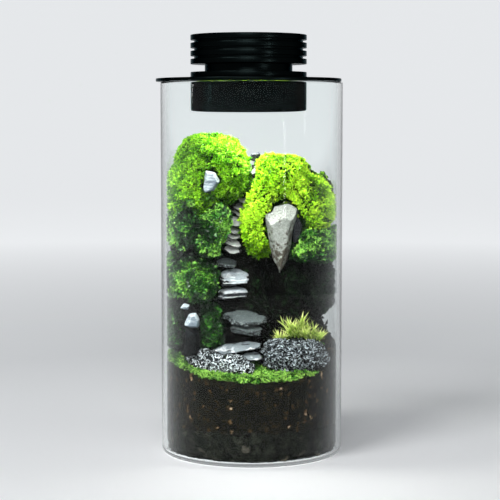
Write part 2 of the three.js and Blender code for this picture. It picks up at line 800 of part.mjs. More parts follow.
function grassTuft() {
  const blades = Array.from({ length: TUFT.blades }, (_, i) => {
    const angle = i * 2.4;
    const reach = Math.sqrt((i + 0.5) / TUFT.blades);
    const side = reach * Math.cos(angle);
    return blade({
      root: [
        TUFT.at[0] + 0.72 * TUFT.size[0] * side,
        TUFT.at[1] + 0.78 * TUFT.size[1] * reach * Math.sin(angle),
        TUFT.at[2] + 1.2 * (1 - side * side),
      ],
      heading: Math.atan2(0.5 * Math.sin(angle), Math.cos(angle)) + 0.5 * (hash(i, 2, 9, TUFT.seed) - 0.5),
      spread: 0.2 + 1.05 * reach,
      length: 9 + 6 * hash(i, 6, 1, TUFT.seed) + 2 * (1 - side * side),
      width: 1.4,
    });
  });
  return mainBody(joined([tuftCore(), ...blades].map((shape) => solidOf(shape))));
}

// The planting, hardest pieces first: each later one is cut clear of those it lies against

function addPlanting() {
  const inside = solidOf(disc(CONTENT_RADIUS, JAR.base + GAP, JAR.height - 10, JAR.facets / 2));
  const soil = soilLayer();
  place('drainage_gravel', gravelLayer(), 'gravel');
  place('soil', soil, 'soil');

  const stones = [swollen(soil)];
  const settle = (name, solid, finish, clearance) => {
    const fitted = mainBody(cut(solid, stones).intersect(inside));
    place(name, fitted, finish);
    stones.push(clearance ?? swollen(geometryOf(fitted)));
  };
  SLATES.forEach((spec, k) => {
    const name = `slate_${String(k + 1).padStart(2, '0')}`;
    settle(name, solidOf(slate(spec)), 'slate', solidOf(slateSeat(spec)));
  });
  Object.entries(STONES).forEach(([name, spec]) => settle(name, solidOf(standingStone(spec)), spec.finish));
  settle('grass_tuft', grassTuft(), 'tuft', solidOf(tuftCore(1.5 * GAP)));
  Object.entries(LAVA).forEach(([name, spec]) => {
    const cleared = lavaRock({ ...spec, detail: 2, tuft: 0, grow: 1.8 + 2 * GAP });
    settle(name, solidOf(lavaRock(spec)), 'lava', solidOf(cleared));
  });

  const bankCushions = (grow) =>
    joined(BANK.map((spec, k) => solidOf(cushion({ detail: 1, lumps: 0.07, seed: k, grow, ...spec }))));
  place('planting_bank', mainBody(cut(bankCushions(0), stones).intersect(inside)), 'bank');

  const soft = [bankCushions(1.5 * GAP), solidOf(cushion(RAVINE)), ...stones.slice(1)];
  Object.entries(MOSS).forEach(([name, { cushions, finish }], k) => {
    const seeded = cushions.map((spec, n) => ({ lumps: 0.1, seed: 10 * k + n, ...spec }));
    const patch = joined(seeded.map((spec) => solidOf(cushion(spec))));
    place(name, mainBody(cut(patch, soft).intersect(inside)), finish);
    const cleared = (spec) => ({ ...spec, detail: 2, tuft: 0, grow: 1.2 * spec.tuft + 2 * GAP });
    soft.push(joined(seeded.map((spec) => solidOf(cushion(cleared(spec))))));
  });

  const carpet = layer({
    bottom: (x, y) => ground(x, y) - 1,
    top: (x, y) => ground(x, y) + MOSS_THICKNESS + noise(x / 8, y / 8, 0, 5),
    radius: CONTENT_RADIUS,
    rings: 6,
    rows: 1,
    columns: 32,
    grain: 1.5,
    seed: 47,
  });
  const front = new THREE.BoxGeometry(88, JAR.radius, JAR.radius).translate(-4, -JAR.radius / 2, 60);
  const patch = cut(solidOf(carpet).intersect(solidOf(front)), [...stones, ...soft]);
  place('moss_carpet', mainBody(patch), 'carpet');
}

place('glass_jar', jar(), 'glass');
addLid();
addPlanting();

export default terrarium;
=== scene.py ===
"""A planted glass jar with a finned lamp lid: the finished surfaces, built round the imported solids."""

import logging
import math
from collections.abc import Callable, Iterable, Sequence
from dataclasses import dataclass, field, replace
from enum import Enum
from functools import cache
from itertools import product

import bmesh
import bpy
import numpy as np
from mathutils import Euler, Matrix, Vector
from mathutils.bvhtree import BVHTree


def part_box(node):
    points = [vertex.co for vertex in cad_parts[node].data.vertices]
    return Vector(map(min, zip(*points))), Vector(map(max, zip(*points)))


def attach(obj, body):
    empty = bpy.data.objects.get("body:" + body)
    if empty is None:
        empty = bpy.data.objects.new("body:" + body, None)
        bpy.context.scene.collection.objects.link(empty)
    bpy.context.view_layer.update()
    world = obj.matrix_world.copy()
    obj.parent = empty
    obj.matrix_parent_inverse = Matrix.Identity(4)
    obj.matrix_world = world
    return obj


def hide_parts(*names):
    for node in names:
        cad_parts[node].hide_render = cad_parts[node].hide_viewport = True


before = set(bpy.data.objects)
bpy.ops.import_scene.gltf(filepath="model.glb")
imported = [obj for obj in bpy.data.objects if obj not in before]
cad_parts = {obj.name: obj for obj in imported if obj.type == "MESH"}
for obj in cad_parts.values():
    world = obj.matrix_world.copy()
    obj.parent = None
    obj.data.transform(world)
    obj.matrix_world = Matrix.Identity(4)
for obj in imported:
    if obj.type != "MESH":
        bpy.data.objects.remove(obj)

LOG = logging.getLogger("terrarium")
MM = 0.001
GOLDEN_TURN = math.pi * (3 - math.sqrt(5))
NOISE_LAYERS = 3  # in fractal noise, each half the size of the last
GRAIN_REACH = 0.8  # how far from its middle a grain ends, in grain sizes
BODY = "root"
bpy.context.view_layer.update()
LID_NODES = ("heat_sink", "lid_plate", "lamp_housing", "diffuser_retainer", "diffuser")
NOT_IN_THE_WAY = ("glass_jar", "soil", *LID_NODES)

Pair = tuple[float, float]
Colour = tuple[float, float, float]
Place = tuple[float, float, float]
Corner = tuple[float, float, float]
Stops = Sequence[tuple[float, Colour]]

WHITE: Colour = (1.0, 1.0, 1.0)


# Noise and small vector tools


def unit(vectors: np.ndarray) -> np.ndarray:
    """The same directions at length one."""
    return vectors / np.maximum(np.linalg.norm(vectors, axis=-1, keepdims=True), 1e-12)


def scramble(cells: np.ndarray, seed: int) -> np.ndarray:
    """A repeatable random number from 0 to 1 for each whole-numbered cell.

    Args:
        cells: Whole numbers, three to a row.
        seed: Picks one of many independent draws.

    Returns:
        One number a row.
    """
    whole = cells.astype(np.int64)
    mixed = whole[..., 0] * 73856093 ^ whole[..., 1] * 19349663 ^ whole[..., 2] * 83492791 ^ seed * 40503
    mixed = mixed.astype(np.uint32)
    for shift, factor in ((16, 0x7FEB352D), (15, 0x846CA68B)):
        mixed = (mixed ^ (mixed >> np.uint32(shift))) * np.uint32(factor)
    mixed ^= mixed >> np.uint32(16)
    return mixed.astype(np.float64) / 2**32


def noise(points: np.ndarray, size: float, seed: int) -> np.ndarray:
    """Smooth noise from -1 to 1.

    Args:
        points: Places in metres, three numbers a row.
        size: The width of one bump in metres.
        seed: Picks one of many independent fields.

    Returns:
        One number a point.
    """
    scaled = points / size
    cell = np.floor(scaled)
    ease = scaled - cell
    ease = ease * ease * (3 - 2 * ease)
    total = np.zeros(len(points))
    for corner in range(8):
        step = np.array([corner & 1, corner >> 1 & 1, corner >> 2])
        weight = np.prod(np.where(step, ease, 1 - ease), axis=1)
        total += weight * scramble(cell + step, seed)
    return 2 * total - 1


def fractal(points: np.ndarray, size: float, seed: int) -> np.ndarray:
    """Noise with finer and weaker noise on it, from about -1 to 1.

    Args:
        points: Places in metres.
        size: The width of the broadest bump in metres.
        seed: Picks one of many independent fields.

    Returns:
        One number a point.
    """
    layers = [noise(points, size / 2**k, seed + k) / 2**k for k in range(NOISE_LAYERS)]
    return sum(layers) / sum(1 / 2**k for k in range(NOISE_LAYERS))


def drift(points: np.ndarray, size: float, seed: int) -> np.ndarray:
    """Smooth noise from -1 to 1 along each of the three axes."""
    return np.stack([noise(points, size, seed + k) for k in range(3)], axis=1)


def grains(points: np.ndarray, size: float, seed: int) -> tuple[np.ndarray, np.ndarray]:
    """Packs space with grains and says where each point lies in its own grain.

    Args:
        points: Places in metres.
        size: The usual width of a grain in metres.
        seed: Picks one of many packings.

    Returns:
        The distance to the grain's middle in grain sizes, and the grain's own random number.
    """
    scaled = points / size
    cell = np.floor(scaled)
    nearest = np.full(len(points), 9.0)
    token = np.zeros(len(points))
    for step in product((-1, 0, 1), repeat=3):
        other = cell + step
        middle = other + np.stack([scramble(other, seed + k) for k in range(3)], axis=1)
        distance = np.linalg.norm(scaled - middle, axis=1)
        closer = distance < nearest
        nearest = np.where(closer, distance, nearest)
        token = np.where(closer, scramble(other, seed + 3), token)
    return nearest, token


def dome(distance: np.ndarray) -> np.ndarray:
    """The height of a round grain, 1 over its middle and 0 from its reach outward."""
    return np.sqrt(np.clip(1 - (distance / GRAIN_REACH) ** 2, 0, 1))


def whorl(axis: np.ndarray, side: np.ndarray, leaves: int, rng: np.random.Generator) -> np.ndarray:
    """The directions in which leaves stand out round their shoots, a golden turn apart.

    Args:
        axis: The direction of each shoot.
        side: A direction across each shoot.
        leaves: How many leaves a shoot has.
        rng: The seeded random source.

    Returns:
        A direction for every leaf of every shoot.
    """
    turn = GOLDEN_TURN * np.arange(leaves) + rng.uniform(0, 2 * np.pi, (len(axis), 1))
    return side[:, None] * np.cos(turn)[..., None] + np.cross(axis, side)[:, None] * np.sin(turn)[..., None]


# Meshes as arrays


def placed(name: str, data: bpy.types.ID) -> bpy.types.Object:
    """Puts a new object into the scene.

    Args:
        name: Its name.
        data: Its mesh, light or camera.

    Returns:
        The object.
    """
    made = bpy.data.objects.new(name, data)
    bpy.context.scene.collection.objects.link(made)
    return made


def write_mask(mesh: bpy.types.Mesh, name: str, values: np.ndarray) -> None:
    """Stores a number for each point of a mesh, for its finish to read."""
    mesh.attributes.new(name, "FLOAT", "POINT").data.foreach_set("value", values.astype(np.float32))


@dataclass
class Skin:
    """A triangle mesh as arrays, with a number for each point in every named mask.

    Attributes:
        points: Places in metres, three numbers a row.
        faces: Three point numbers a row.
        masks: Numbers for the finish to read, by name.
    """

    points: np.ndarray
    faces: np.ndarray
    masks: dict[str, np.ndarray] = field(default_factory=dict)

    @classmethod
    def of_node(cls, node: str, voxel: float) -> "Skin":
        """An even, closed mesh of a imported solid.

        Args:
            node: The solid's name.
            voxel: The width of a face in metres.

        Returns:
            The mesh, in place.
        """
        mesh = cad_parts[node].data.copy()
        shape = bmesh.new()
        shape.from_mesh(mesh)
        bmesh.ops.remove_doubles(shape, verts=shape.verts, dist=1e-7)
        shape.to_mesh(mesh)
        shape.free()
        copy = placed("carving", mesh)
        remesh = copy.modifiers.new("even", "REMESH")
        remesh.mode = "VOXEL"
        remesh.voxel_size = voxel
        made = copy.evaluated_get(bpy.context.evaluated_depsgraph_get()).to_mesh()
        made.calc_loop_triangles()
        points = np.empty(len(made.vertices) * 3, np.float32)
        made.vertices.foreach_get("co", points)
        faces = np.empty(len(made.loop_triangles) * 3, np.int32)
        made.loop_triangles.foreach_get("vertices", faces)
        bpy.data.objects.remove(copy)
        bpy.data.meshes.remove(mesh)
        return cls(points.reshape(-1, 3).astype(float), faces.reshape(-1, 3))

    def corners(self) -> tuple[np.ndarray, np.ndarray, np.ndarray]:
        """The three corner places of every face."""
        return tuple(self.points[self.faces[:, k]] for k in range(3))

    def normals(self) -> np.ndarray:
        """The outward direction at every point."""
        a, b, c = self.corners()
        across = np.cross(b - a, c - a)
        total = np.zeros_like(self.points)
        for k, axis in product(range(3), repeat=2):
            total[:, axis] += np.bincount(self.faces[:, k], across[:, axis], len(self.points))
        return unit(total)

    def smoothed(self, times: int) -> "Skin":
        """The same mesh with every point drawn towards its neighbours.

        Args:
            times: How often the points go half the way.

        Returns:
            The softer mesh.
        """
        edges = np.concatenate([self.faces[:, [0, 1]], self.faces[:, [1, 2]], self.faces[:, [2, 0]]])
        count = np.bincount(edges[:, 0], minlength=len(self.points))[:, None]
        points = self.points.copy()
        for _ in range(times):
            sums = [np.bincount(edges[:, 0], points[edges[:, 1], axis], len(points)) for axis in range(3)]
            points += 0.5 * (np.stack(sums, axis=1) / np.maximum(count, 1) - points)
        return Skin(points, self.faces, dict(self.masks))

    def pushed(self, amount: np.ndarray, along: np.ndarray) -> "Skin":
        """The same mesh with every point moved by its own amount along its own direction."""
        return Skin(self.points + amount[:, None] * along, self.faces, dict(self.masks))

    def within(self, radius: float) -> "Skin":
        """The same mesh, with what reaches past a radius from the jar's axis pressed back to it."""
        points = self.points.copy()
        reach = np.linalg.norm(points[:, :2], axis=1)
        points[:, :2] *= np.minimum(1, radius / np.maximum(reach, 1e-9))[:, None]
        return Skin(points, self.faces, dict(self.masks))

    def masked(self, **masks: np.ndarray) -> "Skin":
        """The same mesh with more masks."""
        return Skin(self.points, self.faces, {**self.masks, **masks})

    def spots(self, count: int, rng: np.random.Generator) -> tuple[np.ndarray, np.ndarray, np.ndarray]:
        """Random places on the mesh, spread evenly by area.

        Args:
            count: How many.
            rng: The seeded random source.

        Returns:
            The places, the outward direction at each, and the "rise" mask at each.
        """
        a, b, c = self.corners()
        across = np.cross(b - a, c - a)
        area = np.linalg.norm(across, axis=1)
        chosen = rng.choice(len(area), count, p=area / area.sum())
        u, v = rng.random((2, count, 1))
        flip = u + v > 1
        u, v = np.where(flip, 1 - u, u), np.where(flip, 1 - v, v)
        share = np.concatenate([1 - u - v, u, v], axis=1)
        places = a[chosen] * share[:, :1] + b[chosen] * share[:, 1:2] + c[chosen] * share[:, 2:]
        rise = (self.masks["rise"][self.faces[chosen]] * share).sum(axis=1)
        return places, unit(across[chosen]), rise

    def piece(
        self,
        name: str,
        finish: "Finish",
        slot: str,
        nodes: Sequence[str] = (),
        sharp: float | None = None,
        flat: bool = False,
    ) -> bpy.types.Object:
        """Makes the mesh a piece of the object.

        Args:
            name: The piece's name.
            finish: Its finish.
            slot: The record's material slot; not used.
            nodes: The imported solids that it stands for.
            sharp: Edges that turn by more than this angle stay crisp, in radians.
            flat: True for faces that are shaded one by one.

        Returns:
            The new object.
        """
        mesh = bpy.data.meshes.new(name)
        mesh.vertices.add(len(self.points))
        mesh.vertices.foreach_set("co", self.points.astype(np.float32).ravel())
        mesh.loops.add(self.faces.size)
        mesh.loops.foreach_set("vertex_index", self.faces.astype(np.int32).ravel())
        mesh.polygons.add(len(self.faces))
        mesh.polygons.foreach_set("loop_start", np.arange(0, self.faces.size, 3, dtype=np.int32))
        mesh.update(calc_edges=True)
        mesh.validate()
        mesh.shade_flat() if flat else mesh.shade_smooth()
        if sharp is not None:
            mesh.set_sharp_from_angle(angle=sharp)
        for mask, values in self.masks.items():
            write_mask(mesh, mask, values)
        mesh.materials.append(finish.material())
        made = placed(name, mesh)
        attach(made, BODY)
        if nodes:
            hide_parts(*nodes)
        LOG.info("%s: %d triangles", name, len(self.faces))
        return made


def eased(corners: Sequence[Corner], steps: int = 4) -> list[Pair]:
    """Rounds the corners of a turned profile.

    Args:
        corners: Radius, height and rounding of each corner, in metres.
        steps: How many stretches a rounded corner has.

    Returns:
        Pairs of radius and height.
    """
    profile: list[Pair] = []
    places = [Vector((r, z)) for r, z, _ in corners]
    for k, (place, (_, _, ease)) in enumerate(zip(places, corners)):
        if ease == 0 or k in (0, len(places) - 1):
            profile.append(tuple(place))
            continue
        before = place + (places[k - 1] - place).normalized() * ease
        after = place + (places[k + 1] - place).normalized() * ease
        for step in range(steps + 1):
            t = step / steps
            profile.append(tuple(before * (1 - t) ** 2 + place * 2 * t * (1 - t) + after * t**2))
    return profile


def turned(profile: Sequence[Pair], facets: int, centre: Pair) -> Skin:
    """Turns a profile round an upright axis.

    Args:
        profile: Pairs of radius and height, from axis to axis or closing on itself.
        facets: How many stretches go round.
        centre: Where the axis stands.

    Returns:
        The closed mesh.
    """
    angle = np.arange(facets) / facets * 2 * np.pi
    rings, points = [], []
    for radius, height in profile:
        start = sum(len(p) for p in points)
        if radius < 1e-9:
            points.append(np.array([[centre[0], centre[1], height]]))
            rings.append(np.full(facets, start))
            continue
        ring = np.stack([np.cos(angle) * radius, np.sin(angle) * radius, np.full(facets, height)], axis=1)
        points.append(ring + (*centre, 0))
        rings.append(start + np.arange(facets))
    faces = []
    for low, high in zip(rings, rings[1:]):
        next_low, next_high = np.roll(low, -1), np.roll(high, -1)
        faces += [np.stack([low, next_low, next_high], 1), np.stack([low, next_high, high], 1)]
    faces = np.concatenate(faces)
    keep = (faces[:, 0] != faces[:, 1]) & (faces[:, 1] != faces[:, 2]) & (faces[:, 2] != faces[:, 0])
    skin = Skin(np.concatenate(points), faces[keep])
    if profile[0] == profile[-1]:
        last = rings[-1]
        remap = np.arange(len(skin.points))
        remap[last] = rings[0]
        skin = Skin(skin.points[: last[0]], remap[skin.faces])
    return skin


class Surroundings:
    """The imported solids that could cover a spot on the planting."""

    def __init__(self, nodes: Iterable[str]) -> None:
        """Gathers the solids' faces.

        Args:
            nodes: The names of the solids.
        """
        places: list[Vector] = []
        faces: list[tuple[int, ...]] = []
        for node in nodes:
            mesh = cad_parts[node].data
            start = len(places)
            places += [v.co.copy() for v in mesh.vertices]
            faces += [tuple(start + k for k in p.vertices) for p in mesh.polygons]
        self.tree = BVHTree.FromPolygons(places, faces)

    def open_air(self, places: np.ndarray, normals: np.ndarray, reach: float) -> np.ndarray:
        """Which places have nothing close in front of them.

        Args:
            places: Places in metres.
            normals: The direction to look in from each.
            reach: How far to look.

        Returns:
            True for each place with nothing close in front of it.
        """
        rays = zip(places + normals * (0.1 * reach), normals)
        return np.array([self.tree.ray_cast(Vector(p), Vector(n), reach)[0] is None for p, n in rays])


# Shader building


def operator(operation: str, mirrored: bool = False) -> Callable[["Signal", "Number"], "Signal"]:
    """Makes one of a signal's operators, which adds a Math node.

    Args:
        operation: The Math node's operation.
        mirrored: True for the operator's reflected form, with the signal on the right.

    Returns:
        The operator.
    """

    def worked_out(signal: "Signal", other: "Number") -> "Signal":
        """The result of the operation on a signal and another number."""
        first, second = (other, signal) if mirrored else (signal, other)
        node = signal.graph.add("ShaderNodeMath", {"operation": operation}, {0: first, 1: second})
        return Signal(signal.graph, node.outputs[0])

    return worked_out


class Signal:
    """A number that varies over a surface. Arithmetic on it adds Math nodes."""

    def __init__(self, graph: "Graph", socket: bpy.types.NodeSocket) -> None:
        """Wraps an output socket of a graph."""
        self.graph = graph
        self.socket = socket

    __add__, __radd__ = operator("ADD"), operator("ADD", True)
    __sub__, __rsub__ = operator("SUBTRACT"), operator("SUBTRACT", True)
    __mul__, __rmul__ = operator("MULTIPLY"), operator("MULTIPLY", True)

    def between(self, low: float, high: float) -> "Signal":
        """0 up to low, 1 from high on, and a smooth rise between."""
        settings = {"interpolation_type": "SMOOTHSTEP"}
        node = self.graph.add("ShaderNodeMapRange", settings, {0: self, 1: low, 2: high, 3: 0.0, 4: 1.0})
        return Signal(self.graph, node.outputs[0])


Number = Signal | float


class Graph:
    """The node graph of one material."""

    def __init__(self, name: str) -> None:
        """Starts an empty material."""
        self.made = bpy.data.materials.new(name)
        self.made.use_nodes = True
        self.nodes = self.made.node_tree.nodes
        self.nodes.clear()

    def add(self, kind: str, settings: dict[str, object], sockets: dict[int | str, object]) -> bpy.types.Node:
        """Adds a node.

        Args:
            kind: The node's type.
            settings: Its properties, with a ramp's stops as pairs of place and colour.
            sockets: A value or a link for each input socket, by its number or name.

        Returns:
            The node.
        """
        node = self.nodes.new(kind)
        for name, value in settings.items():
            if name == "stops":
                self.set_stops(node.color_ramp.elements, value)
            else:
                setattr(node, name, value)
        for key, value in sockets.items():
            source = value.socket if isinstance(value, Signal) else value
            if isinstance(source, bpy.types.NodeSocket):
                self.made.node_tree.links.new(source, node.inputs[key])
            elif isinstance(source, tuple) and node.inputs[key].type == "RGBA":
                node.inputs[key].default_value = (*source, 1.0)
            else:
                node.inputs[key].default_value = source
        return node

    @staticmethod
    def set_stops(elements: bpy.types.bpy_prop_collection, stops: Stops) -> None:
        """Gives a ramp its stops."""
        while len(elements) < len(stops):
            elements.new(1.0)
        for element, (place, colour) in zip(elements, stops):
            element.position = place
            element.color = (*colour, 1.0)

    def mask(self, name: str) -> Signal:
        """A mask that the mesh carries."""
        return Signal(self, self.add("ShaderNodeAttribute", {"attribute_name": name}, {}).outputs["Fac"])

    def place(self) -> bpy.types.NodeSocket:
        """The place on the object in metres."""
        return self.add("ShaderNodeTexCoord", {}, {}).outputs["Object"]

    def cloud(
        self, size: float, detail: float = 2.0, squash: tuple[float, ...] | None = None, twist: float = 0.0
    ) -> Signal:
        """Soft noise from 0 to 1.

        Args:
            size: The width of one bump in metres.
            detail: How many finer layers it has.
            squash: How much each axis counts, for noise that is drawn out along one.
            twist: How strongly it winds.

        Returns:
            The noise.
        """
        where = self.place()
        if squash is not None:
            multiply = {"operation": "MULTIPLY"}
            where = self.add("ShaderNodeVectorMath", multiply, {0: where, 1: squash}).outputs[0]
        sockets = {"Vector": where, "Scale": 1 / size, "Detail": detail}
        sockets |= {"Roughness": 0.6, "Distortion": twist}
        return Signal(self, self.add("ShaderNodeTexNoise", {}, sockets).outputs[0])

    def cell(self, size: float) -> Signal:
        """The distance to the nearest of many scattered points, in steps of their spacing."""
        sockets = {"Vector": self.place(), "Scale": 1 / size}
        return Signal(self, self.add("ShaderNodeTexVoronoi", {}, sockets).outputs["Distance"])

    def ramp(self, factor: Signal, stops: Stops) -> bpy.types.NodeSocket:
        """A colour picked along a list of stops."""
        return self.add("ShaderNodeValToRGB", {"stops": stops}, {0: factor}).outputs[0]

    def mix(self, factor: Number, first: object, second: object, blend: str = "MIX") -> bpy.types.NodeSocket:
        """Two colours mixed, or blended in another way."""
        settings = {"data_type": "RGBA", "blend_type": blend}
        return self.add("ShaderNodeMix", settings, {0: factor, 6: first, 7: second}).outputs[2]

    def bump(self, height: Signal, depth: float, strength: float = 1.0) -> bpy.types.NodeSocket:
        """Surface relief.

        Args:
            height: The relief from 0 to 1.
            depth: What 1 stands for, in metres.
            strength: The share of it that shows.

        Returns:
            The bent normal.
        """
        sockets = {"Strength": strength, "Distance": depth, "Height": height}
        return self.add("ShaderNodeBump", {}, sockets).outputs[0]

    def surface(self, **sockets: object) -> None:
        """Ends the graph in a Principled shader with these sockets, named with _ for a space."""
        named = {key.replace("_", " "): value for key, value in sockets.items()}
        shader = self.add("ShaderNodeBsdfPrincipled", {}, named)
        self.add("ShaderNodeOutputMaterial", {}, {0: shader.outputs[0]})


# Finishes


@dataclass(frozen=True)
class Finish:
    """A finish that a piece can have.

    Attributes:
        name: The material's name.
    """

    name: str

    @cache
    def material(self) -> bpy.types.Material:
        """The finish as a material, made when it is first asked for."""
        graph = Graph(self.name)
        self.paint(graph)
        return graph.made

    def paint(self, graph: Graph) -> None:
        """Fills the material's graph."""
        raise NotImplementedError


# Ramps of painted shade: what is left of a leaf's colour, from the darkest shoots to the brightest.
SOFT_SHADING: Stops = ((0.0, (0.03, 0.04, 0.05)), (0.45, (0.42, 0.5, 0.42)), (0.9, WHITE))
DEEP_SHADING: Stops = (
    (0.0, (0.003, 0.012, 0.01)),
    (0.3, (0.05, 0.14, 0.1)),
    (0.55, (0.45, 0.6, 0.5)),
    (0.8, WHITE),
)


@dataclass(frozen=True)
class LeafFinish(Finish):
    """Moss or grass leaves, dark at the root and bright at the tip, with painted shade laid over them.

    Attributes:
        root: The colour at a leaf's root, painted dark as shade deep between the leaves.
        body: The colour of a leaf.
        tip: The colour of its tip.
        fresh: The colour of the freshest patches.
        patch: The width of a patch in metres.
        gloss: How strongly a leaf mirrors light.
        shading: Painted shade: what is left of its colour, from the darkest shoots to the brightest.
    """

    root: Colour
    body: Colour
    tip: Colour
    fresh: Colour
    patch: float = 9 * MM
    gloss: float = 0.15
    shading: Stops = SOFT_SHADING

    def paint(self, graph: Graph) -> None:
        """Fills the material's graph."""
        tip, tone = graph.mask("tip"), graph.mask("tone")
        leaf = graph.ramp(tip, [(0.0, self.root), (0.55, self.body), (1.0, self.tip)])
        # Painted shade: the brightness mask holds random differences between shoots together with painted
        # shade for hollows and for spots that the lamp can't reach. It picks the fresher patches and, through
        # the shading ramp, darkens each leaf.
        patch = (graph.cloud(self.patch, 3.0) + 0.4 * tone).between(0.55, 0.95)
        fresh = graph.mix(patch * tip, leaf, self.fresh)
        colour = graph.mix(1.0, fresh, graph.ramp(tone, self.shading), "MULTIPLY")
        graph.surface(Base_Color=colour, Roughness=0.45 - 0.15 * tip, Specular_IOR_Level=self.gloss)


@dataclass(frozen=True)
class BedFinish(Finish):
    """The dark mat of stems and dead leaves under living moss.

    Attributes:
        deep: The colour of its hollows, darker as painted shade.
        raised: The colour of its bumps.
    """

    deep: Colour
    raised: Colour

    def paint(self, graph: Graph) -> None:
        """Fills the material's graph."""
        fine = graph.cloud(0.8 * MM, 3.0)
        # Painted shade: the mat is painted darker in the hollows between clumps.
        mat = fine * (0.35 + 0.65 * graph.mask("rise"))
        colour = graph.mix(mat.between(0.2, 0.65), self.deep, self.raised)
        relief = graph.bump(fine, 0.5 * MM)
        graph.surface(Base_Color=colour, Roughness=0.9, Specular_IOR_Level=0.1, Normal=relief)


@dataclass(frozen=True)
class RockFinish(Finish):
    """Stone, with painted light on its upward faces and painted shade on the rest, pale edges of wear and
    painted highlight, specks and stains.

    Attributes:
        dark: The colour of its side faces and hollows as painted shade, and of its darker patches.
        light: The colour of its upward faces as painted light, and of its paler patches.
        edge: The colour of its edges, partly wear and partly painted highlight.
        speck: The colour of its specks.
        speck_share: How much of the stone the specks take.
        grain: The width of its grain in metres.
        bands: How strongly it splits in level layers.
        mottle: How strongly broad patches differ.
        lines: How strongly thin pale lines show.
        chipped: How strongly its edges show wear and painted highlight.
        roughness: How matt it is.
        shine: How strongly it mirrors light.
        stain: The colour of its stains.
        fade: Where its painted shade ends and its painted light begins.
    """

    dark: Colour
    light: Colour
    edge: Colour
    speck: Colour
    speck_share: float = 0.3
    grain: float = 1.2 * MM
    bands: float = 0.0
    mottle: float = 0.9
    lines: float = 0.0
    chipped: float = 1.0
    roughness: float = 0.7
    shine: float = 0.25
    stain: Colour = (0.06, 0.052, 0.038)
    fade: Pair = (0.35, 1.0)

    def paint(self, graph: Graph) -> None:
        """Fills the material's graph."""
        level = (1.0, 1.0, 1.0 + 7.0 * self.bands)
        broad = graph.cloud(6 * self.grain, 4.0, level)
        fine = graph.cloud(self.grain, 3.0, level)
        # Painted light and shade: upward faces get the light colour and the rest the dark one, broken up by
        # broad and fine patches.
        shown = graph.mask("open") + self.mottle * (broad - 0.5) + 0.5 * fine
        body = graph.mix(shown.between(*self.fade), self.dark, self.light)
        start = 0.74 - 0.4 * self.speck_share
        specks = graph.cloud(0.7 * self.grain, 1.0).between(start, start + 0.05)
        flecked = graph.mix(specks * 0.8, body, self.speck)
        blotch = 6.0 * graph.cloud(3 * self.grain, 3.0) - 2.3
        stained = graph.mix((graph.mask("stain") * blotch).between(0.2, 0.7), flecked, self.stain)
        # A pale line runs where twisted noise crosses its middle value.
        crossing = graph.cloud(4.4 * self.grain, 1.5, twist=1.6) - 0.5
        line = (1.0 - (crossing * crossing).between(0.0002, 0.0012)) * self.lines
        # Pale edges: partly real wear, partly painted highlight on jutting layers and crests.
        wear_and_painted_highlight = (graph.mask("edge") * (0.45 + fine) * self.chipped + line).between(0.5, 1.0)
        colour = graph.mix(wear_and_painted_highlight, stained, self.edge)
        rough = self.roughness + 0.2 * fine - 0.1
        relief = graph.bump(0.6 * fine + 0.4 * broad, 0.35 * MM, 0.8)
        graph.surface(Base_Color=colour, Roughness=rough, Specular_IOR_Level=self.shine, Normal=relief)


@dataclass(frozen=True)
class GrainFinish(Finish):
    """Loose grains, each with a colour of its own, with painted shade in the gaps between.

    Attributes:
        gap: The colour painted between the grains as painted shade.
        colours: The grains' colours, from the commonest kind to the rarest.
        grain: The width of a grain.
    """

    gap: Colour
    colours: Stops
    grain: float

    def paint(self, graph: Graph) -> None:
        """Fills the material's graph."""
        grain = graph.ramp(graph.mask("grain"), self.colours)
        fine = graph.cloud(0.6 * MM, 3.0)
        # Painted shade: the rims of small cells and the low spots between grains get the gap colour.
        small = graph.cell(0.4 * self.grain).between(0.35, 0.75)
        mottled = graph.mix(fine.between(0.3, 0.7) * 0.35 + 0.5 * small, grain, self.gap)
        colour = graph.mix(graph.mask("rise").between(0.15, 0.6), self.gap, mottled)
        relief = graph.bump(fine, 0.3 * MM)
        graph.surface(Base_Color=colour, Roughness=0.5 + 0.3 * fine, Specular_IOR_Level=0.05, Normal=relief)


@dataclass(frozen=True)
class SatinFinish(Finish):
    """Anodised or plain metal with faint marks of the lathe.

    Attributes:
        colour: Its colour.
        roughness: How matt it is.
        rim: How much of its shine it keeps where it is seen nearly edge-on.
        marks: How strongly the lathe's lines show.
    """

    colour: Colour
    roughness: float
    rim: Colour = WHITE
    marks: float = 0.3

    def paint(self, graph: Graph) -> None:
        """Fills the material's graph."""
        lines = graph.cloud(1.5 * MM, 2.0, (0.05, 0.05, 6.0))
        dust = graph.cloud(0.5 * MM, 2.0)
        pale = tuple(min(1.0, 1.5 * c) for c in self.colour)
        graph.surface(
            Base_Color=graph.mix(0.5 * dust, self.colour, pale),
            Roughness=self.roughness + 0.14 * lines + 0.06 * dust - 0.08,
            Metallic=1.0,
            Specular_Tint=self.rim,
            Normal=graph.bump(lines, 0.03 * MM, self.marks),
        )


@dataclass(frozen=True)
class PlasticFinish(Finish):
    """Moulded plastic, rubber or lacquer.

    Attributes:
        colour: Its colour.
        roughness: How matt it is.
        glow: How strongly it shines by itself.
    """

    colour: Colour
    roughness: float = 0.45
    glow: float = 0.0

    def paint(self, graph: Graph) -> None:
        """Fills the material's graph."""
        fine = graph.cloud(0.35 * MM, 2.0)
        shade = tuple(0.85 * c for c in self.colour)
        colour = graph.mix(fine.between(0.3, 0.7), shade, self.colour)
        graph.surface(
            Base_Color=colour,
            Roughness=self.roughness + 0.15 * fine,
            Normal=graph.bump(fine, 0.02 * MM, 0.5),
            Emission_Color=colour,
            Emission_Strength=self.glow,
        )


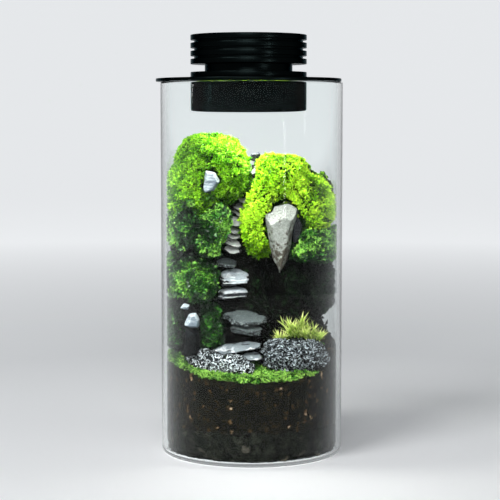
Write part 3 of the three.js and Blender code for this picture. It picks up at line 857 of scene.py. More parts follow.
@dataclass(frozen=True)
class GlassFinish(Finish):
    """Clear glass.

    Attributes:
        tint: What little colour it has.
        sheen: How much of the room it mirrors where it is looked at squarely.
    """

    tint: Colour = (0.965, 0.99, 0.985)
    sheen: Colour = (0.12, 0.12, 0.12)

    def paint(self, graph: Graph) -> None:
        """Fills the material's graph."""
        waves = graph.cloud(30 * MM, 1.0)
        graph.surface(
            Base_Color=self.tint,
            Roughness=0.0,
            IOR=1.47,
            Specular_Tint=self.sheen,
            Transmission_Weight=1.0,
            Normal=graph.bump(waves, 0.05 * MM, 0.15),
        )


@dataclass(frozen=True)
class PaperFinish(Finish):
    """The studio's matt paper, which shines a little by itself.

    Attributes:
        colour: Its colour.
        glow: How strongly it shines under the jar and far away from it.
    """

    colour: Colour
    glow: Pair

    def paint(self, graph: Graph) -> None:
        """Fills the material's graph."""
        fibre = graph.cloud(4 * MM, 2.0)
        shade = tuple(0.985 * c for c in self.colour)
        near, far = (tuple(strength * c for c in self.colour) for strength in self.glow)
        graph.surface(
            Base_Color=graph.mix(fibre, shade, self.colour),
            Roughness=0.9,
            Specular_IOR_Level=0.1,
            Emission_Color=graph.mix(graph.mask("far"), near, far),
            Emission_Strength=1.0,
        )


BRIGHT_LEAVES = LeafFinish(
    "bright_moss_leaves", (0.005, 0.035, 0.001), (0.12, 0.44, 0.003), (0.25, 0.76, 0.008), (0.46, 0.86, 0.04)
)
# Partly the right hill's own lime colour, partly painted light: its leaves are painted brighter for how
# strongly it is lit.
SUNNY_LEAVES = LeafFinish(
    "sunny_moss_leaves", (0.01, 0.06, 0.001), (0.38, 0.85, 0.005), (0.45, 0.98, 0.01), (0.7, 0.98, 0.06)
)
SMALL_LEAVES = LeafFinish(
    "small_leaved_moss", (0.001, 0.006, 0.001), (0.008, 0.12, 0.002), (0.06, 0.5, 0.015), (0.42, 0.8, 0.12),
    patch=3 * MM, gloss=0.4, shading=DEEP_SHADING,
)
# Painted shade: nearly black leaves for the moss deep in the recess and on the bank behind the hills.
SHADE_PAINTED_LEAVES = LeafFinish(
    "dark_moss_leaves",
    (0.001, 0.002, 0.001),
    (0.002, 0.008, 0.002),
    (0.008, 0.035, 0.008),
    (0.02, 0.07, 0.015),
)
CARPET_LEAVES = LeafFinish(
    "carpet_moss_leaves", (0.003, 0.018, 0.001), (0.05, 0.25, 0.008), (0.24, 0.68, 0.07), (0.5, 0.8, 0.16),
    patch=4 * MM,
)
TUFT_LEAVES = LeafFinish(
    "tuft_leaves", (0.08, 0.2, 0.01), (0.5, 0.75, 0.05), (0.85, 0.92, 0.25), (0.92, 0.92, 0.4), patch=3 * MM
)
GREEN_BED = BedFinish("moss_mat", (0.001, 0.005, 0.001), (0.012, 0.06, 0.003))
# The earth mat, partly dark earth and partly painted shade, for the recess and the bank behind the hills.
DARK_BED = BedFinish("earth_mat", (0.001, 0.001, 0.0008), (0.007, 0.007, 0.005))
SLATE = RockFinish(
    "split_slate", (0.01, 0.013, 0.016), (0.5, 0.56, 0.6), (0.88, 0.91, 0.93), (0.02, 0.022, 0.025),
    speck_share=0.25, grain=1 * MM, bands=0.5, mottle=2.2, roughness=0.45, fade=(0.7, 1.1),
)
DAMP_SLATE = replace(SLATE, name="damp_slate", light=(0.25, 0.29, 0.31), mottle=2.8)
# Painted light: nearly white upward faces for the upper steps and the ravine stone, standing in for the light
# that falls on them.
PALE_SLATE_PAINTED_LIGHT = RockFinish(
    "pale_slate_painted_light", (0.012, 0.015, 0.012), (0.92, 0.94, 0.9), (0.97, 0.98, 0.97), (0.3, 0.22, 0.12),
    speck_share=0.2, grain=1 * MM, bands=0.3, mottle=0.6, chipped=0.3, roughness=0.5, fade=(0.95, 1.15),
)
ROUGH_SLATE = RockFinish(
    "rough_slate", (0.006, 0.008, 0.009), (0.09, 0.11, 0.11), (0.6, 0.66, 0.66), (0.36, 0.42, 0.42),
    speck_share=0.42, grain=0.7 * MM, bands=0.2, mottle=1.3, chipped=0.3, roughness=0.5, fade=(0.6, 1.2),
)
PALE_STONE = RockFinish(
    "speckled_stone", (0.24, 0.26, 0.23), (0.5, 0.52, 0.48), (0.74, 0.76, 0.73), (0.17, 0.18, 0.16),
    speck_share=0.56, grain=0.8 * MM,
)
BLUE_STONE = RockFinish(
    "bluish_stone", (0.16, 0.2, 0.24), (0.68, 0.76, 0.8), (0.88, 0.92, 0.94), (0.1, 0.13, 0.15),
    grain=0.9 * MM, bands=0.4, mottle=1.6,
)
DARK_STONE = RockFinish(
    "dark_stone", (0.003, 0.004, 0.005), (0.02, 0.024, 0.03), (0.09, 0.1, 0.12), (0.04, 0.045, 0.05),
    speck_share=0.2, grain=1 * MM,
)
POST_STONE = RockFinish(
    "black_stone", (0.001, 0.0015, 0.0015), (0.006, 0.008, 0.009), (0.03, 0.035, 0.04), (0.01, 0.012, 0.014),
    speck_share=0.2, grain=1 * MM, shine=0.05,
)
LAVA = RockFinish(
    "wrinkled_lava", (0.001, 0.0014, 0.0017), (0.008, 0.011, 0.013), (0.85, 0.93, 0.96), (0.07, 0.085, 0.095),
    speck_share=0.15, grain=0.8 * MM, lines=1.0, chipped=0.55, roughness=0.5, shine=0.15,
)
BLACK_LAVA = replace(LAVA, name="black_lava", edge=(0.6, 0.68, 0.72), lines=0.8, chipped=0.4)
SOIL = GrainFinish(
    "damp_soil",
    (0.0006, 0.0007, 0.0004),
    (
        (0.0, (0.001, 0.0012, 0.0006)),
        (0.4, (0.006, 0.0065, 0.0035)),
        (0.65, (0.022, 0.018, 0.009)),
        (0.85, (0.07, 0.042, 0.018)),
        (0.95, (0.16, 0.09, 0.04)),
        (0.99, (0.5, 0.36, 0.22)),
    ),
    1.9 * MM,
)
GRAVEL = GrainFinish(
    "grey_gravel",
    (0.001, 0.0012, 0.0008),
    (
        (0.0, (0.002, 0.003, 0.002)),
        (0.4, (0.01, 0.012, 0.008)),
        (0.7, (0.036, 0.038, 0.028)),
        (0.9, (0.1, 0.09, 0.066)),
        (0.99, (0.16, 0.1, 0.05)),
    ),
    3.4 * MM,
)
JAR_GLASS = GlassFinish("clear_glass")
LAMP_BLACK = SatinFinish("black_anodised", (0.0055, 0.0085, 0.0085), 0.26, (0.36, 0.4, 0.41), 0.4)
CUP_BLACK = replace(
    LAMP_BLACK, name="dull_black", colour=(0.0025, 0.0045, 0.0045), roughness=0.17, rim=(0.25, 0.3, 0.3)
)
PLAIN_STEEL = SatinFinish("plain_steel", (0.56, 0.57, 0.58), 0.3, marks=0.2)
BOARD_WHITE = PlasticFinish("white_solder_mask", (0.82, 0.83, 0.8), 0.35)
PHOSPHOR = PlasticFinish("yellow_phosphor", (0.85, 0.62, 0.1), 0.5)
DIFFUSER_WHITE = PlasticFinish("frosted_diffuser", (0.93, 0.95, 0.93), 0.6, glow=0.6)
LEAD_RUBBER = PlasticFinish("black_sleeve", (0.02, 0.021, 0.022), 0.6)
FLOOR_PAPER = PaperFinish("pale_floor", (0.77, 0.78, 0.79), (0.16, 0.78))
LIGHT_CARD = PaperFinish("light_card", WHITE, (22.0, 22.0))


# The jar


@dataclass(frozen=True)
class Jar:
    """The straight glass jar.

    Attributes:
        wall: The wall's thickness.
        base: The floor's thickness.
        foot: The rounding of the outside foot.
        corner: The rounding inside, at the floor.
        rim: The rounding of the rim.
        slack: The gap between the glass and what it holds.
        crease: Edges that turn by more than this stay crisp, in radians.
        facets: How many stretches go round.
    """

    wall: float = 2.5 * MM
    base: float = 1.8 * MM
    foot: float = 2.2 * MM
    corner: float = 1.5 * MM
    rim: float = 1.1 * MM
    slack: float = 0.15 * MM
    crease: float = 0.7
    facets: int = 160

    @property
    def radius(self) -> float:
        """The outside radius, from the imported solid."""
        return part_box("glass_jar")[1].x

    @property
    def room(self) -> float:
        """The radius that the planting keeps to."""
        return self.radius - self.wall - self.slack

    def build(self) -> None:
        """Builds the jar's wall, floor, foot and rim."""
        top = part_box("glass_jar")[1].z
        inside = self.radius - self.wall
        profile = eased(
            [
                (0, 0, 0),
                (self.radius, 0, self.foot),
                (self.radius, top, self.rim),
                (inside, top, self.rim),
                (inside, self.base, self.corner),
                (0, self.base, 0),
            ],
            6,
        )
        skin = turned(profile, self.facets, (0, 0))
        skin.piece("jar", JAR_GLASS, "jar_glass", ["glass_jar"], self.crease).visible_shadow = False


# The lamp lid


def dress(node: str, finish: Finish) -> None:
    """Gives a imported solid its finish.

    Args:
        node: The solid's name.
        finish: The finish.
    """
    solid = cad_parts[node]
    solid.data.materials.clear()
    solid.data.materials.append(finish.material())
    LOG.info("%s: dressed as %s", node, finish.name)


def centre_of(node: str) -> Pair:
    """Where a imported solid's upright axis stands."""
    low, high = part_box(node)
    return (low.x + high.x) / 2, (low.y + high.y) / 2


def radius_of(node: str) -> float:
    """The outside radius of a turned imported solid."""
    low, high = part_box(node)
    return (high.x - low.x) / 2


@dataclass(frozen=True)
class LampLid:
    """The lamp that closes the jar: plate, heat sink, housing and what they hold.

    Attributes:
        fins: How many fins the heat sink has.
        fin: A fin's thickness.
        gap: The gap between two fins.
        core: The radius between the fins.
        neck: The radius of the neck under the fins.
        neck_height: The height of the neck.
        foot: The height of the base ring.
        play: The gap between the plate and the base ring.
        dish: The depth of the hollow in the heat sink's top.
        dish_rim: How far from the top's edge the hollow starts, and where it reaches its depth.
        dish_ease: The rounding of the hollow's rim.
        boss: The radius of the boss that goes down through the plate.
        hole: The radius of the hole in the plate.
        cup_wall: The thickness of the housing's wall.
        cup_ceiling: The thickness of its ceiling.
        cup_lip: The rounding of its lower edge.
        ledge: The height over that edge of the ledge inside it.
        ledge_width: How far the ledge stands out.
        ledge_height: The ledge's thickness.
        ring_width: The width of the ring that holds the diffuser.
        ring_ease: The rounding of the ring and of the diffuser's edge.
        crown: How far the diffuser's middle stands out.
        seam: How far from its first corner a closed profile starts.
        ease: The rounding of other turned edges.
        crease: Edges that turn by more than this stay crisp, in radians.
        facets: How many stretches go round.
    """

    fins: int = 4
    fin: float = 2.8 * MM
    gap: float = 1.55 * MM
    core: float = 29.8 * MM
    neck: float = 24 * MM
    neck_height: float = 4.3 * MM
    foot: float = 3.2 * MM
    play: float = 0.3 * MM
    dish: float = 0.35 * MM
    dish_rim: Pair = (2.2 * MM, 3 * MM)
    dish_ease: float = 0.3 * MM
    boss: float = 14 * MM
    hole: float = 14.3 * MM
    cup_wall: float = 2.2 * MM
    cup_ceiling: float = 2.5 * MM
    cup_lip: float = 0.7 * MM
    ledge: float = 4.3 * MM
    ledge_width: float = 1.4 * MM
    ledge_height: float = 1.2 * MM
    ring_width: float = 2.1 * MM
    ring_ease: float = 0.2 * MM
    crown: float = 0.25 * MM
    seam: float = 2 * MM
    ease: float = 0.28 * MM
    crease: float = 0.6
    facets: int = 112

    def build(self) -> None:
        """Builds the turned pieces and dresses the small ones."""
        self.turn("lamp_heat_sink", LAMP_BLACK, "lamp_black", "heat_sink", eased(self.heat_sink(), 3))
        self.turn("lid_disc", LAMP_BLACK, "lamp_black", "lid_plate", eased(self.plate(), 4))
        self.turn("lamp_cup", CUP_BLACK, "lamp_black", "lamp_housing", eased(self.cup(), 3))
        self.turn("retaining_ring", CUP_BLACK, "lamp_black", "diffuser_retainer", eased(self.ring(), 3))
        self.turn("lamp_diffuser", DIFFUSER_WHITE, "diffuser_white", "diffuser", self.diffuser())
        dress("led_board", BOARD_WHITE)
        dress("led_chip", PHOSPHOR)
        dress("inner_lead", LEAD_RUBBER)
        for node in ("power_inlet", "lamp_screw_1", "lamp_screw_2", "lamp_screw_3"):
            dress(node, PLAIN_STEEL)

    def turn(self, name: str, finish: Finish, slot: str, node: str, profile: Sequence[Pair]) -> None:
        """Turns a profile round the lid's axis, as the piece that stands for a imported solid."""
        skin = turned(profile, self.facets, centre_of("lid_plate"))
        skin.piece(name, finish, slot, [node], self.crease)

    def heat_sink(self) -> list[Corner]:
        """The boss, the base ring, the neck and the fins."""
        low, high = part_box("heat_sink")
        outer, e = radius_of("heat_sink"), self.ease
        ring_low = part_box("lid_plate")[1].z + self.play
        ring_top = ring_low + self.foot
        level = ring_top + self.neck_height
        corners = [
            (0, low.z, 0),
            (self.boss, low.z, e),
            (self.boss, ring_low, e),
            (outer, ring_low, e),
            (outer, ring_top, e),
            (self.neck, ring_top, e),
            (self.neck, level, e),
        ]
        for k in range(self.fins):
            if k > 0:
                corners.append((self.core, level, e))
            corners.append((outer, level, e))
            level += self.fin
            corners.append((outer, min(level, high.z), e))
            if k < self.fins - 1:
                corners.append((self.core, level, e))
            level += self.gap
        start, end = self.dish_rim
        corners.append((outer - start, high.z, self.dish_ease))
        corners.append((outer - end, high.z - self.dish, self.dish_ease))
        return [*corners, (0, high.z - self.dish, 0)]

    def plate(self) -> list[Corner]:
        """The plate that lies on the rim."""
        low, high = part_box("lid_plate")
        outer, hole, e = radius_of("lid_plate"), self.hole, self.ease
        start = (hole + self.seam, low.z, 0)
        rim = [(outer, low.z, 1.6 * e), (outer, high.z, 1.6 * e)]
        return [start, *rim, (hole, high.z, e), (hole, low.z, e), start]

    def cup(self) -> list[Corner]:
        """The cup that hangs inside the jar."""
        low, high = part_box("lamp_housing")
        outer, e = radius_of("lamp_housing"), self.ease
        bore = outer - self.cup_wall
        ceiling = high.z - self.cup_ceiling
        ledge = low.z + self.ledge
        start = (bore - self.seam, ceiling, 0)
        return [
            start,
            (bore, ceiling, e),
            (bore, ledge, e),
            (bore - self.ledge_width, ledge, e),
            (bore - self.ledge_width, ledge - self.ledge_height, e),
            (bore, ledge - self.ledge_height, e),
            (bore, low.z, self.cup_lip),
            (outer, low.z, self.cup_lip),
            (outer, high.z, 2 * e),
            (self.hole, high.z, e),
            (self.hole, ceiling, e),
            start,
        ]

    def ring(self) -> list[Corner]:
        """The ring that holds the diffuser."""
        low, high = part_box("diffuser_retainer")
        outer, e = radius_of("diffuser_retainer"), self.ring_ease
        inner = outer - self.ring_width
        start = ((inner + outer) / 2, low.z, 0)
        outside = [(outer, low.z, e), (outer, high.z, e)]
        return [start, *outside, (inner, high.z, e), (inner, low.z, 2 * e), start]

    def diffuser(self) -> list[Pair]:
        """The frosted disc, slightly crowned towards the planting."""
        low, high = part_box("diffuser")
        outer, e = radius_of("diffuser"), self.ring_ease
        crown = [(outer * s, low.z + self.crown * s * s) for s in np.linspace(0, 0.97, 9)]
        foot = (outer * 0.97, low.z + 0.24 * MM, 0)
        edge = eased([foot, (outer, low.z + 0.3 * MM, e), (outer, high.z, e), (0, high.z, 0)])
        return crown + edge[1:]


# The ground


@dataclass(frozen=True)
class GroundLayer:
    """A layer of grains that fills the jar from side to side.

    Attributes:
        node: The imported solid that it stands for.
        slot: The record's material slot.
        finish: Its finish.
        relief: How far the grains stand out.
        voxel: The width of a face.
        seed: Picks one packing of grains.
        seam: How far it reaches into the next layer.
        small: The share of the room that grains of half the size take.
        wave: How far the border between the layers rises and falls.
        wave_width: How wide those waves are.
        wave_band: How far above and below the border they reach.
        pressed: How near the glass grains start to be pressed against it, and over what depth.
        crease: Edges that turn by more than this stay crisp, in radians.
    """

    node: str
    slot: str
    finish: GrainFinish
    relief: float
    voxel: float
    seed: int
    seam: float = 0.6 * MM
    small: float = 0.62
    wave: float = 2.4 * MM
    wave_width: float = 6 * MM
    wave_band: float = 4 * MM
    pressed: Pair = (3 * MM, 1.5 * MM)
    crease: float = 0.9

    def build(self, room: float) -> None:
        """Builds the layer with its grains against the glass.

        Args:
            room: The radius that it keeps to.
        """
        skin = Skin.of_node(self.node, self.voxel).smoothed(1)
        size = self.finish.grain
        wound = skin.points + 0.25 * size * drift(skin.points, 2 * size, self.seed)
        broad, token = grains(wound, size, self.seed)
        fine, fine_token = grains(wound, 0.5 * size, self.seed + 9)
        big = token > self.small
        rise = np.where(big, dome(broad), 0.75 * dome(fine))
        tint = np.where(big, (token - self.small) / (1 - self.small), 0.75 * fine_token)
        border = np.clip(1 - np.abs(skin.points[:, 2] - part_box("soil")[0].z) / self.wave_band, 0, 1)
        skin.points[:, 2] += self.wave * border * fractal(skin.points * (1, 1, 0), self.wave_width, 77)
        normals = skin.normals()
        offset = self.relief * (rise - 0.25) + self.seam * (np.abs(normals[:, 2]) > 0.4)
        skin = skin.pushed(offset, normals).within(room)
        reach = np.linalg.norm(skin.points[:, :2], axis=1)
        start, depth = self.pressed
        press = np.clip((reach - room + start) / depth, 0, 1)
        outer = room - 0.5 * self.relief * (1 - rise)
        skin.points[:, :2] *= (1 + press * (outer / np.maximum(reach, 1e-6) - 1))[:, None]
        skin.points[:, 2] = np.maximum(skin.points[:, 2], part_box(self.node)[0].z)
        skin = skin.masked(rise=rise, grain=tint)
        skin.piece(self.node + "_grains", self.finish, self.slot, [self.node], self.crease)


# Stones


@dataclass(frozen=True)
class Stone:
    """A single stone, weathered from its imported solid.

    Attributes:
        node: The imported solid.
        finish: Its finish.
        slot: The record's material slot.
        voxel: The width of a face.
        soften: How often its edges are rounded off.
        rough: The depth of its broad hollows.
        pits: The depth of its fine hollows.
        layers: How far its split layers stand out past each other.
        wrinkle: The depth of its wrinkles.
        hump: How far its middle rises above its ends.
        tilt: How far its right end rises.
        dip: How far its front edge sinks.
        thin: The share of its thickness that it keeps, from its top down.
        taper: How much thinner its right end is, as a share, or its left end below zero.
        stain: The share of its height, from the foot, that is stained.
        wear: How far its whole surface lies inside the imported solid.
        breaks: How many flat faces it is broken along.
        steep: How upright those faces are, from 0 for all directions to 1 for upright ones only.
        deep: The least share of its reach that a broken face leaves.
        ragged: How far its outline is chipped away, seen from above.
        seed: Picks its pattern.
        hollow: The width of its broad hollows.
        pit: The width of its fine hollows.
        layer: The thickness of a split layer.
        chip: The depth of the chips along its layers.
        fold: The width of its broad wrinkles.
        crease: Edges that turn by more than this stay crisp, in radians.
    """

    node: str
    finish: RockFinish
    slot: str
    voxel: float = 0.5 * MM
    soften: int = 2
    rough: float = 0.35 * MM
    pits: float = 0.12 * MM
    layers: float = 0.0
    wrinkle: float = 0.0
    hump: float = 0.0
    tilt: float = 0.0
    dip: float = 0.0
    thin: float = 1.0
    taper: float = 0.0
    stain: float = 0.0
    wear: float = 0.0
    breaks: int = 5
    steep: float = 0.0
    deep: float = 0.72
    ragged: float = 0.0
    seed: int = 1
    hollow: float = 4 * MM
    pit: float = 0.9 * MM
    layer: float = 0.75 * MM
    chip: float = 1.3 * MM
    fold: float = 1.5 * MM
    crease: float = 0.5

    def build(self) -> None:
        """Builds the stone."""
        skin = self.broken(self.bent(Skin.of_node(self.node, self.voxel).smoothed(self.soften)))
        normals = skin.normals()
        before = skin.points
        offset = self.rough * fractal(before, self.hollow, self.seed)
        offset += self.pits * noise(before, self.pit, self.seed + 5)
        edge = np.clip(6 * (offset / self.rough - 0.35), 0, 1) * 0.5
        if self.layers > 0:
            jut, edge = self.split(before, normals)
            offset += jut
        if self.wrinkle > 0:
            fold, edge = self.wrinkled(before)
            offset += fold
        low, high = before[:, 2].min(), before[:, 2].max()
        height = (before[:, 2] - low) / (high - low) + 0.4 * fractal(before, 5 * MM, self.seed + 40)
        stain = np.clip(0.5 + 1.8 * (self.stain - height), 0, 1) * (self.stain > 0)
        # Painted light: the more a face turns upward, the lighter the finish paints it; faces turned away get
        # painted shade.
        painted_top_light_share = np.clip(1.3 * normals[:, 2] + 0.25, 0, 1)
        skin = skin.pushed(offset - self.wear, normals).masked(edge=edge, stain=stain, open=painted_top_light_share)
        skin.piece(self.node + "_stone", self.finish, self.slot, [self.node], self.crease)

    def bent(self, skin: Skin) -> Skin:
        """The stone with its hump, tilt and taper."""
        low, high = skin.points.min(axis=0), skin.points.max(axis=0)
        middle, half = (low + high) / 2, (high - low) / 2
        side = (skin.points[:, 0] - middle[0]) / half[0]
        depth = (skin.points[:, 1] - middle[1]) / half[1]
        points = skin.points.copy()
        points[:, 2] = high[2] + (points[:, 2] - high[2]) * self.thin
        points[:, 2] = middle[2] + (points[:, 2] - middle[2]) * (1 - 0.5 * self.taper * (1 + side))
        arch = self.hump * (0.5 - side**2) * (1 - 0.4 * depth**2)
        points[:, 2] += arch + self.tilt * side + self.dip * depth
        return Skin(points, skin.faces)

    def broken(self, skin: Skin) -> Skin:
        """The stone with its flat broken faces."""
        rng = np.random.default_rng(self.seed)
        points = skin.points.copy()
        middle = (points.min(axis=0) + points.max(axis=0)) / 2
        for _ in range(self.breaks):
            facing = unit(rng.normal(size=3) * (1, 1, 1 - 0.85 * self.steep))
            reach = (points - middle) @ facing
            beyond = np.maximum(reach - reach.max() * rng.uniform(self.deep, 0.92), 0)
            points -= beyond[:, None] * facing
        out = points - middle
        out[:, 2] = 0
        far = np.clip(np.linalg.norm(out / np.ptp(points, axis=0), axis=1) / 0.35 - 0.4, 0, 1)
        chip = np.abs(fractal(points * (1, 1, 0.5), 8 * MM, self.seed + 90))
        points -= (self.ragged * far * np.minimum(2.5 * chip, 1))[:, None] * unit(out)
        return Skin(points, skin.faces)

    def split(self, places: np.ndarray, normals: np.ndarray) -> tuple[np.ndarray, np.ndarray]:
        """Layers that split off unevenly at the stone's sides.

        Args:
            places: The points of its surface.
            normals: The outward direction at each.

        Returns:
            How far each point juts out, and how pale its edge colour is: wear and painted highlight on
            jutting layers, painted light on upward faces.
        """
        level = places[:, 2] + 0.4 * MM * fractal(places, 5 * MM, self.seed + 8)
        step = np.floor(level / self.layer)
        jut = scramble(np.stack([step, np.full_like(step, self.seed), np.zeros_like(step)], 1), self.seed)
        side = np.sqrt(np.clip(1 - normals[:, 2] ** 2, 0, 1))
        chips = self.chip * side * fractal(places * (1, 1, 0.4), 6 * MM, self.seed + 60)
        # Jutting layers get the pale edge colour as wear and painted highlight; upward faces get it in
        # patches as painted light.
        wear_and_painted_highlight = 0.9 * side * (jut > 0.6) * (normals[:, 2] > -0.35)
        wear_and_painted_highlight += 0.5 * (normals[:, 2] > 0.7) * (noise(places, 2.5 * MM, self.seed) > 0.15)
        return self.layers * side * (jut - 0.6) + chips, wear_and_painted_highlight

    def wrinkled(self, places: np.ndarray) -> tuple[np.ndarray, np.ndarray]:
        """Sharp winding wrinkles.

        Args:
            places: The points of its surface.

        Returns:
            How far each point stands out, and how pale its crest is, partly the rock's own colour and partly
            painted highlight.
        """
        swirl = places + 0.8 * MM * drift(places, 2.1 * MM, self.seed)
        ridge = 1 - np.abs(noise(swirl, self.fold, self.seed + 20))
        fine = 1 - np.abs(noise(swirl, 0.8 * MM, self.seed + 30))
        fold = self.wrinkle * (ridge**4 + 0.4 * fine**3 - 0.6)
        # Pale crests: partly the rock's own pale ridges, partly painted highlight where the ridges catch the
        # light.
        patchy = 0.75 + 0.5 * noise(places, 5 * MM, self.seed + 50)
        return fold, np.clip(patchy * (1.7 * ridge**6 + 1.2 * fine**8 * ridge) - 0.25, 0, 1)


# Moss


@dataclass(frozen=True)
class Sprig:
    """A shoot of moss seen as a rosette of small leaves.

    Attributes:
        leaves: How many leaves it has.
        length: A leaf's length.
        width: A leaf's greatest width.
        spread: The least and greatest angle between a leaf and the shoot, in radians.
        climb: How strongly shoots turn up towards the light.
        droop: How far a leaf's tip bends down, as a share of its length.
        unrest: How far shoots lean at random.
        sizes: The least and greatest size of a leaf, beside the usual one.
        tones_and_painted_shade: The least and greatest brightness of a leaf, beside its shoot's.
    """

    leaves: int
    length: float
    width: float
    spread: Pair
    climb: float = 0.4
    droop: float = 0.12
    unrest: float = 0.3
    sizes: Pair = (0.65, 1.2)
    tones_and_painted_shade: Pair = (0.4, 1.4)

    def grow(
        self,
        roots: np.ndarray,
        normals: np.ndarray,
        tones_and_painted_shade: np.ndarray,
        scale: np.ndarray,
        rng: np.random.Generator,
    ) -> Skin:
        """Grows one sprig from every root.

        Args:
            roots: Where the sprigs stand.
            normals: The direction away from the ground at each.
            tones_and_painted_shade: How bright each sprig is painted, from 0 to 1, random differences and
                painted shade together.
            scale: How large each sprig is beside the usual one.
            rng: The seeded random source.

        Returns:
            All leaves as one mesh, with tip and tone masks.
        """
        count, leaves = len(roots), self.leaves
        axis = unit(normals + (0, 0, self.climb) + self.unrest * rng.normal(size=(count, 3)))
        out = whorl(axis, unit(np.cross(axis, rng.normal(size=(count, 3)))), leaves, rng)
        lean = rng.uniform(*self.spread, (count, leaves, 1))
        size = rng.uniform(*self.sizes, (count, leaves, 1)) * scale[:, None, None]
        along = axis[:, None] * np.cos(lean) + out * np.sin(lean)
        across = np.cross(axis[:, None], out) * (0.5 * self.width * size)
        root = np.broadcast_to(roots[:, None], along.shape)
        middle = root + along * (0.5 * self.length * size)
        tip = root + along * (self.length * size) - axis[:, None] * (self.droop * self.length * size)
        points = np.stack([root, middle - across, tip, middle + across], axis=2).reshape(-1, 3)
        first = 4 * np.arange(count * leaves)[:, None]
        faces = np.concatenate([first + (0, 1, 3), first + (1, 2, 3)])
        masks = {
            "tip": np.tile([0.0, 0.6, 1.0, 0.6], count * leaves),
            "tone": np.repeat(tones_and_painted_shade, 4 * leaves) * np.repeat(rng.uniform(*self.tones_and_painted_shade, count * leaves), 4),
        }
        return Skin(points, faces, masks)


class Moss(Enum):
    """The kinds of moss in the jar, by their shoots."""

    BRIGHT = Sprig(6, 1.4 * MM, 0.55 * MM, (0.2, 1.1), climb=0.5)
    SMALL_LEAVED = Sprig(8, 2.2 * MM, 1.2 * MM, (0.35, 1.3), climb=0.4, droop=0.2)
    CARPET = Sprig(6, 1.5 * MM, 0.6 * MM, (0.2, 1.1), climb=0.6)
    SPARSE = Sprig(6, 2.2 * MM, 1.1 * MM, (0.4, 1.3), climb=0.2, droop=0.3)


@dataclass(frozen=True)
class MossPatch:
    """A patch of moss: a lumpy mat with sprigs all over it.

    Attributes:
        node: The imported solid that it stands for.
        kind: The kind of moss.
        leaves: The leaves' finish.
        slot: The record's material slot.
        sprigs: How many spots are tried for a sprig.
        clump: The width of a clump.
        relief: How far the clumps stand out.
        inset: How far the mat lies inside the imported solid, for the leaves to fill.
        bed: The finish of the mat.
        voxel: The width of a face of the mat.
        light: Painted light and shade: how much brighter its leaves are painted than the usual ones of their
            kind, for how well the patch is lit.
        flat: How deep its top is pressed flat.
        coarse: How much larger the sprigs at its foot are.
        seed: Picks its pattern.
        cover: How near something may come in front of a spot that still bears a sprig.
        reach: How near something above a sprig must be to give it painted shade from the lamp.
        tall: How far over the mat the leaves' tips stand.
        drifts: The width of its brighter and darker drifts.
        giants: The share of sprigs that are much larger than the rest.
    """

    node: str
    kind: Moss
    leaves: LeafFinish
    slot: str
    sprigs: int
    clump: float = 4.2 * MM
    relief: float = 1.5 * MM
    inset: float = 1.6 * MM
    bed: BedFinish = GREEN_BED
    voxel: float = 1.15 * MM
    light: float = 1.0
    flat: float = 0.0
    coarse: float = 0.0
    seed: int = 1
    cover: float = 2.8 * MM
    reach: float = 15 * MM
    tall: float = 1.4 * MM
    drifts: float = 11 * MM
    giants: float = 0.06

    def build(self, room: float, around: Surroundings, shade: Surroundings) -> None:
        """Builds the mat and its leaves.

        Args:
            room: The radius that the patch keeps to.
            around: What could cover it.
            shade: What could keep the lamp's light from it, which decides its painted shade.
        """
        rng = np.random.default_rng(self.seed)
        skin = Skin.of_node(self.node, self.voxel).smoothed(4)
        crown = skin.points[:, 2].max() - 2 * self.flat
        skin.points[:, 2] -= 0.5 * np.maximum(skin.points[:, 2] - crown, 0)
        warp = 0.3 * self.clump * drift(skin.points, 2 * self.clump, self.seed)
        rise = dome(grains(skin.points + warp, self.clump, self.seed)[0])
        fuzz = 0.2 * MM * noise(skin.points, 1.2 * MM, self.seed + 4)
        offset = self.relief * (rise - 0.6) - self.inset + fuzz
        skin = skin.pushed(offset, skin.normals()).within(room - 0.4 * MM).masked(rise=rise)
        skin.piece(self.node + "_mat", self.bed, self.slot, [self.node])
        roots, normals, rise = skin.spots(self.sprigs, rng)
        grows = rng.random(len(roots)) < (0.2 + 1.1 * rise) * np.where(normals[:, 1] > 0.35, 0.5, 1.0)
        kept = grows & around.open_air(roots, normals, self.cover)
        roots, normals, rise = roots[kept], normals[kept], rise[kept]
        # Painted shade: shoots that the lamp can't reach and shoots in the hollows between clumps are painted
        # darker, and light paints the whole patch brighter or darker.
        upward = unit(normals * 0.3 + (0, -0.25, 1))
        lit = shade.open_air(roots + normals * (self.inset + self.tall), upward, self.reach)
        tones_and_painted_shade = self.light * (0.3 + 0.7 * lit) * (0.25 + 0.75 * rise) * rng.uniform(0.3, 1.1, len(roots))
        tones_and_painted_shade *= np.clip(0.8 + 1.2 * fractal(roots, self.drifts, self.seed + 70), 0.2, 1.3)
        down = 1 - (roots[:, 2] - roots[:, 2].min()) / np.ptp(roots[:, 2])
        scale = (1 + self.coarse * down) * rng.uniform(0.7, 1.2, len(roots))
        scale *= np.where(rng.random(len(roots)) < self.giants, 1.6, 1.0)
        roots = roots + normals * rng.uniform(-0.2 * MM, 0.6 * MM, (len(roots), 1))
        leaves = self.kind.value.grow(roots, normals, tones_and_painted_shade, scale, rng).within(room)
        leaves.piece(self.node + "_leaves", self.leaves, self.slot, flat=True)


# The tuft of grass moss


@dataclass(frozen=True)
class Bunch:
    """Shoots that stand close together.

    Attributes:
        side: Where the bunch stands along the tuft, from -1 at its left end to 1.
        width: How wide it stands, in metres.
        shoots: How many shoots it has.
        height: The height of its tallest shoot.
    """

    side: float
    width: float
    shoots: int
    height: float


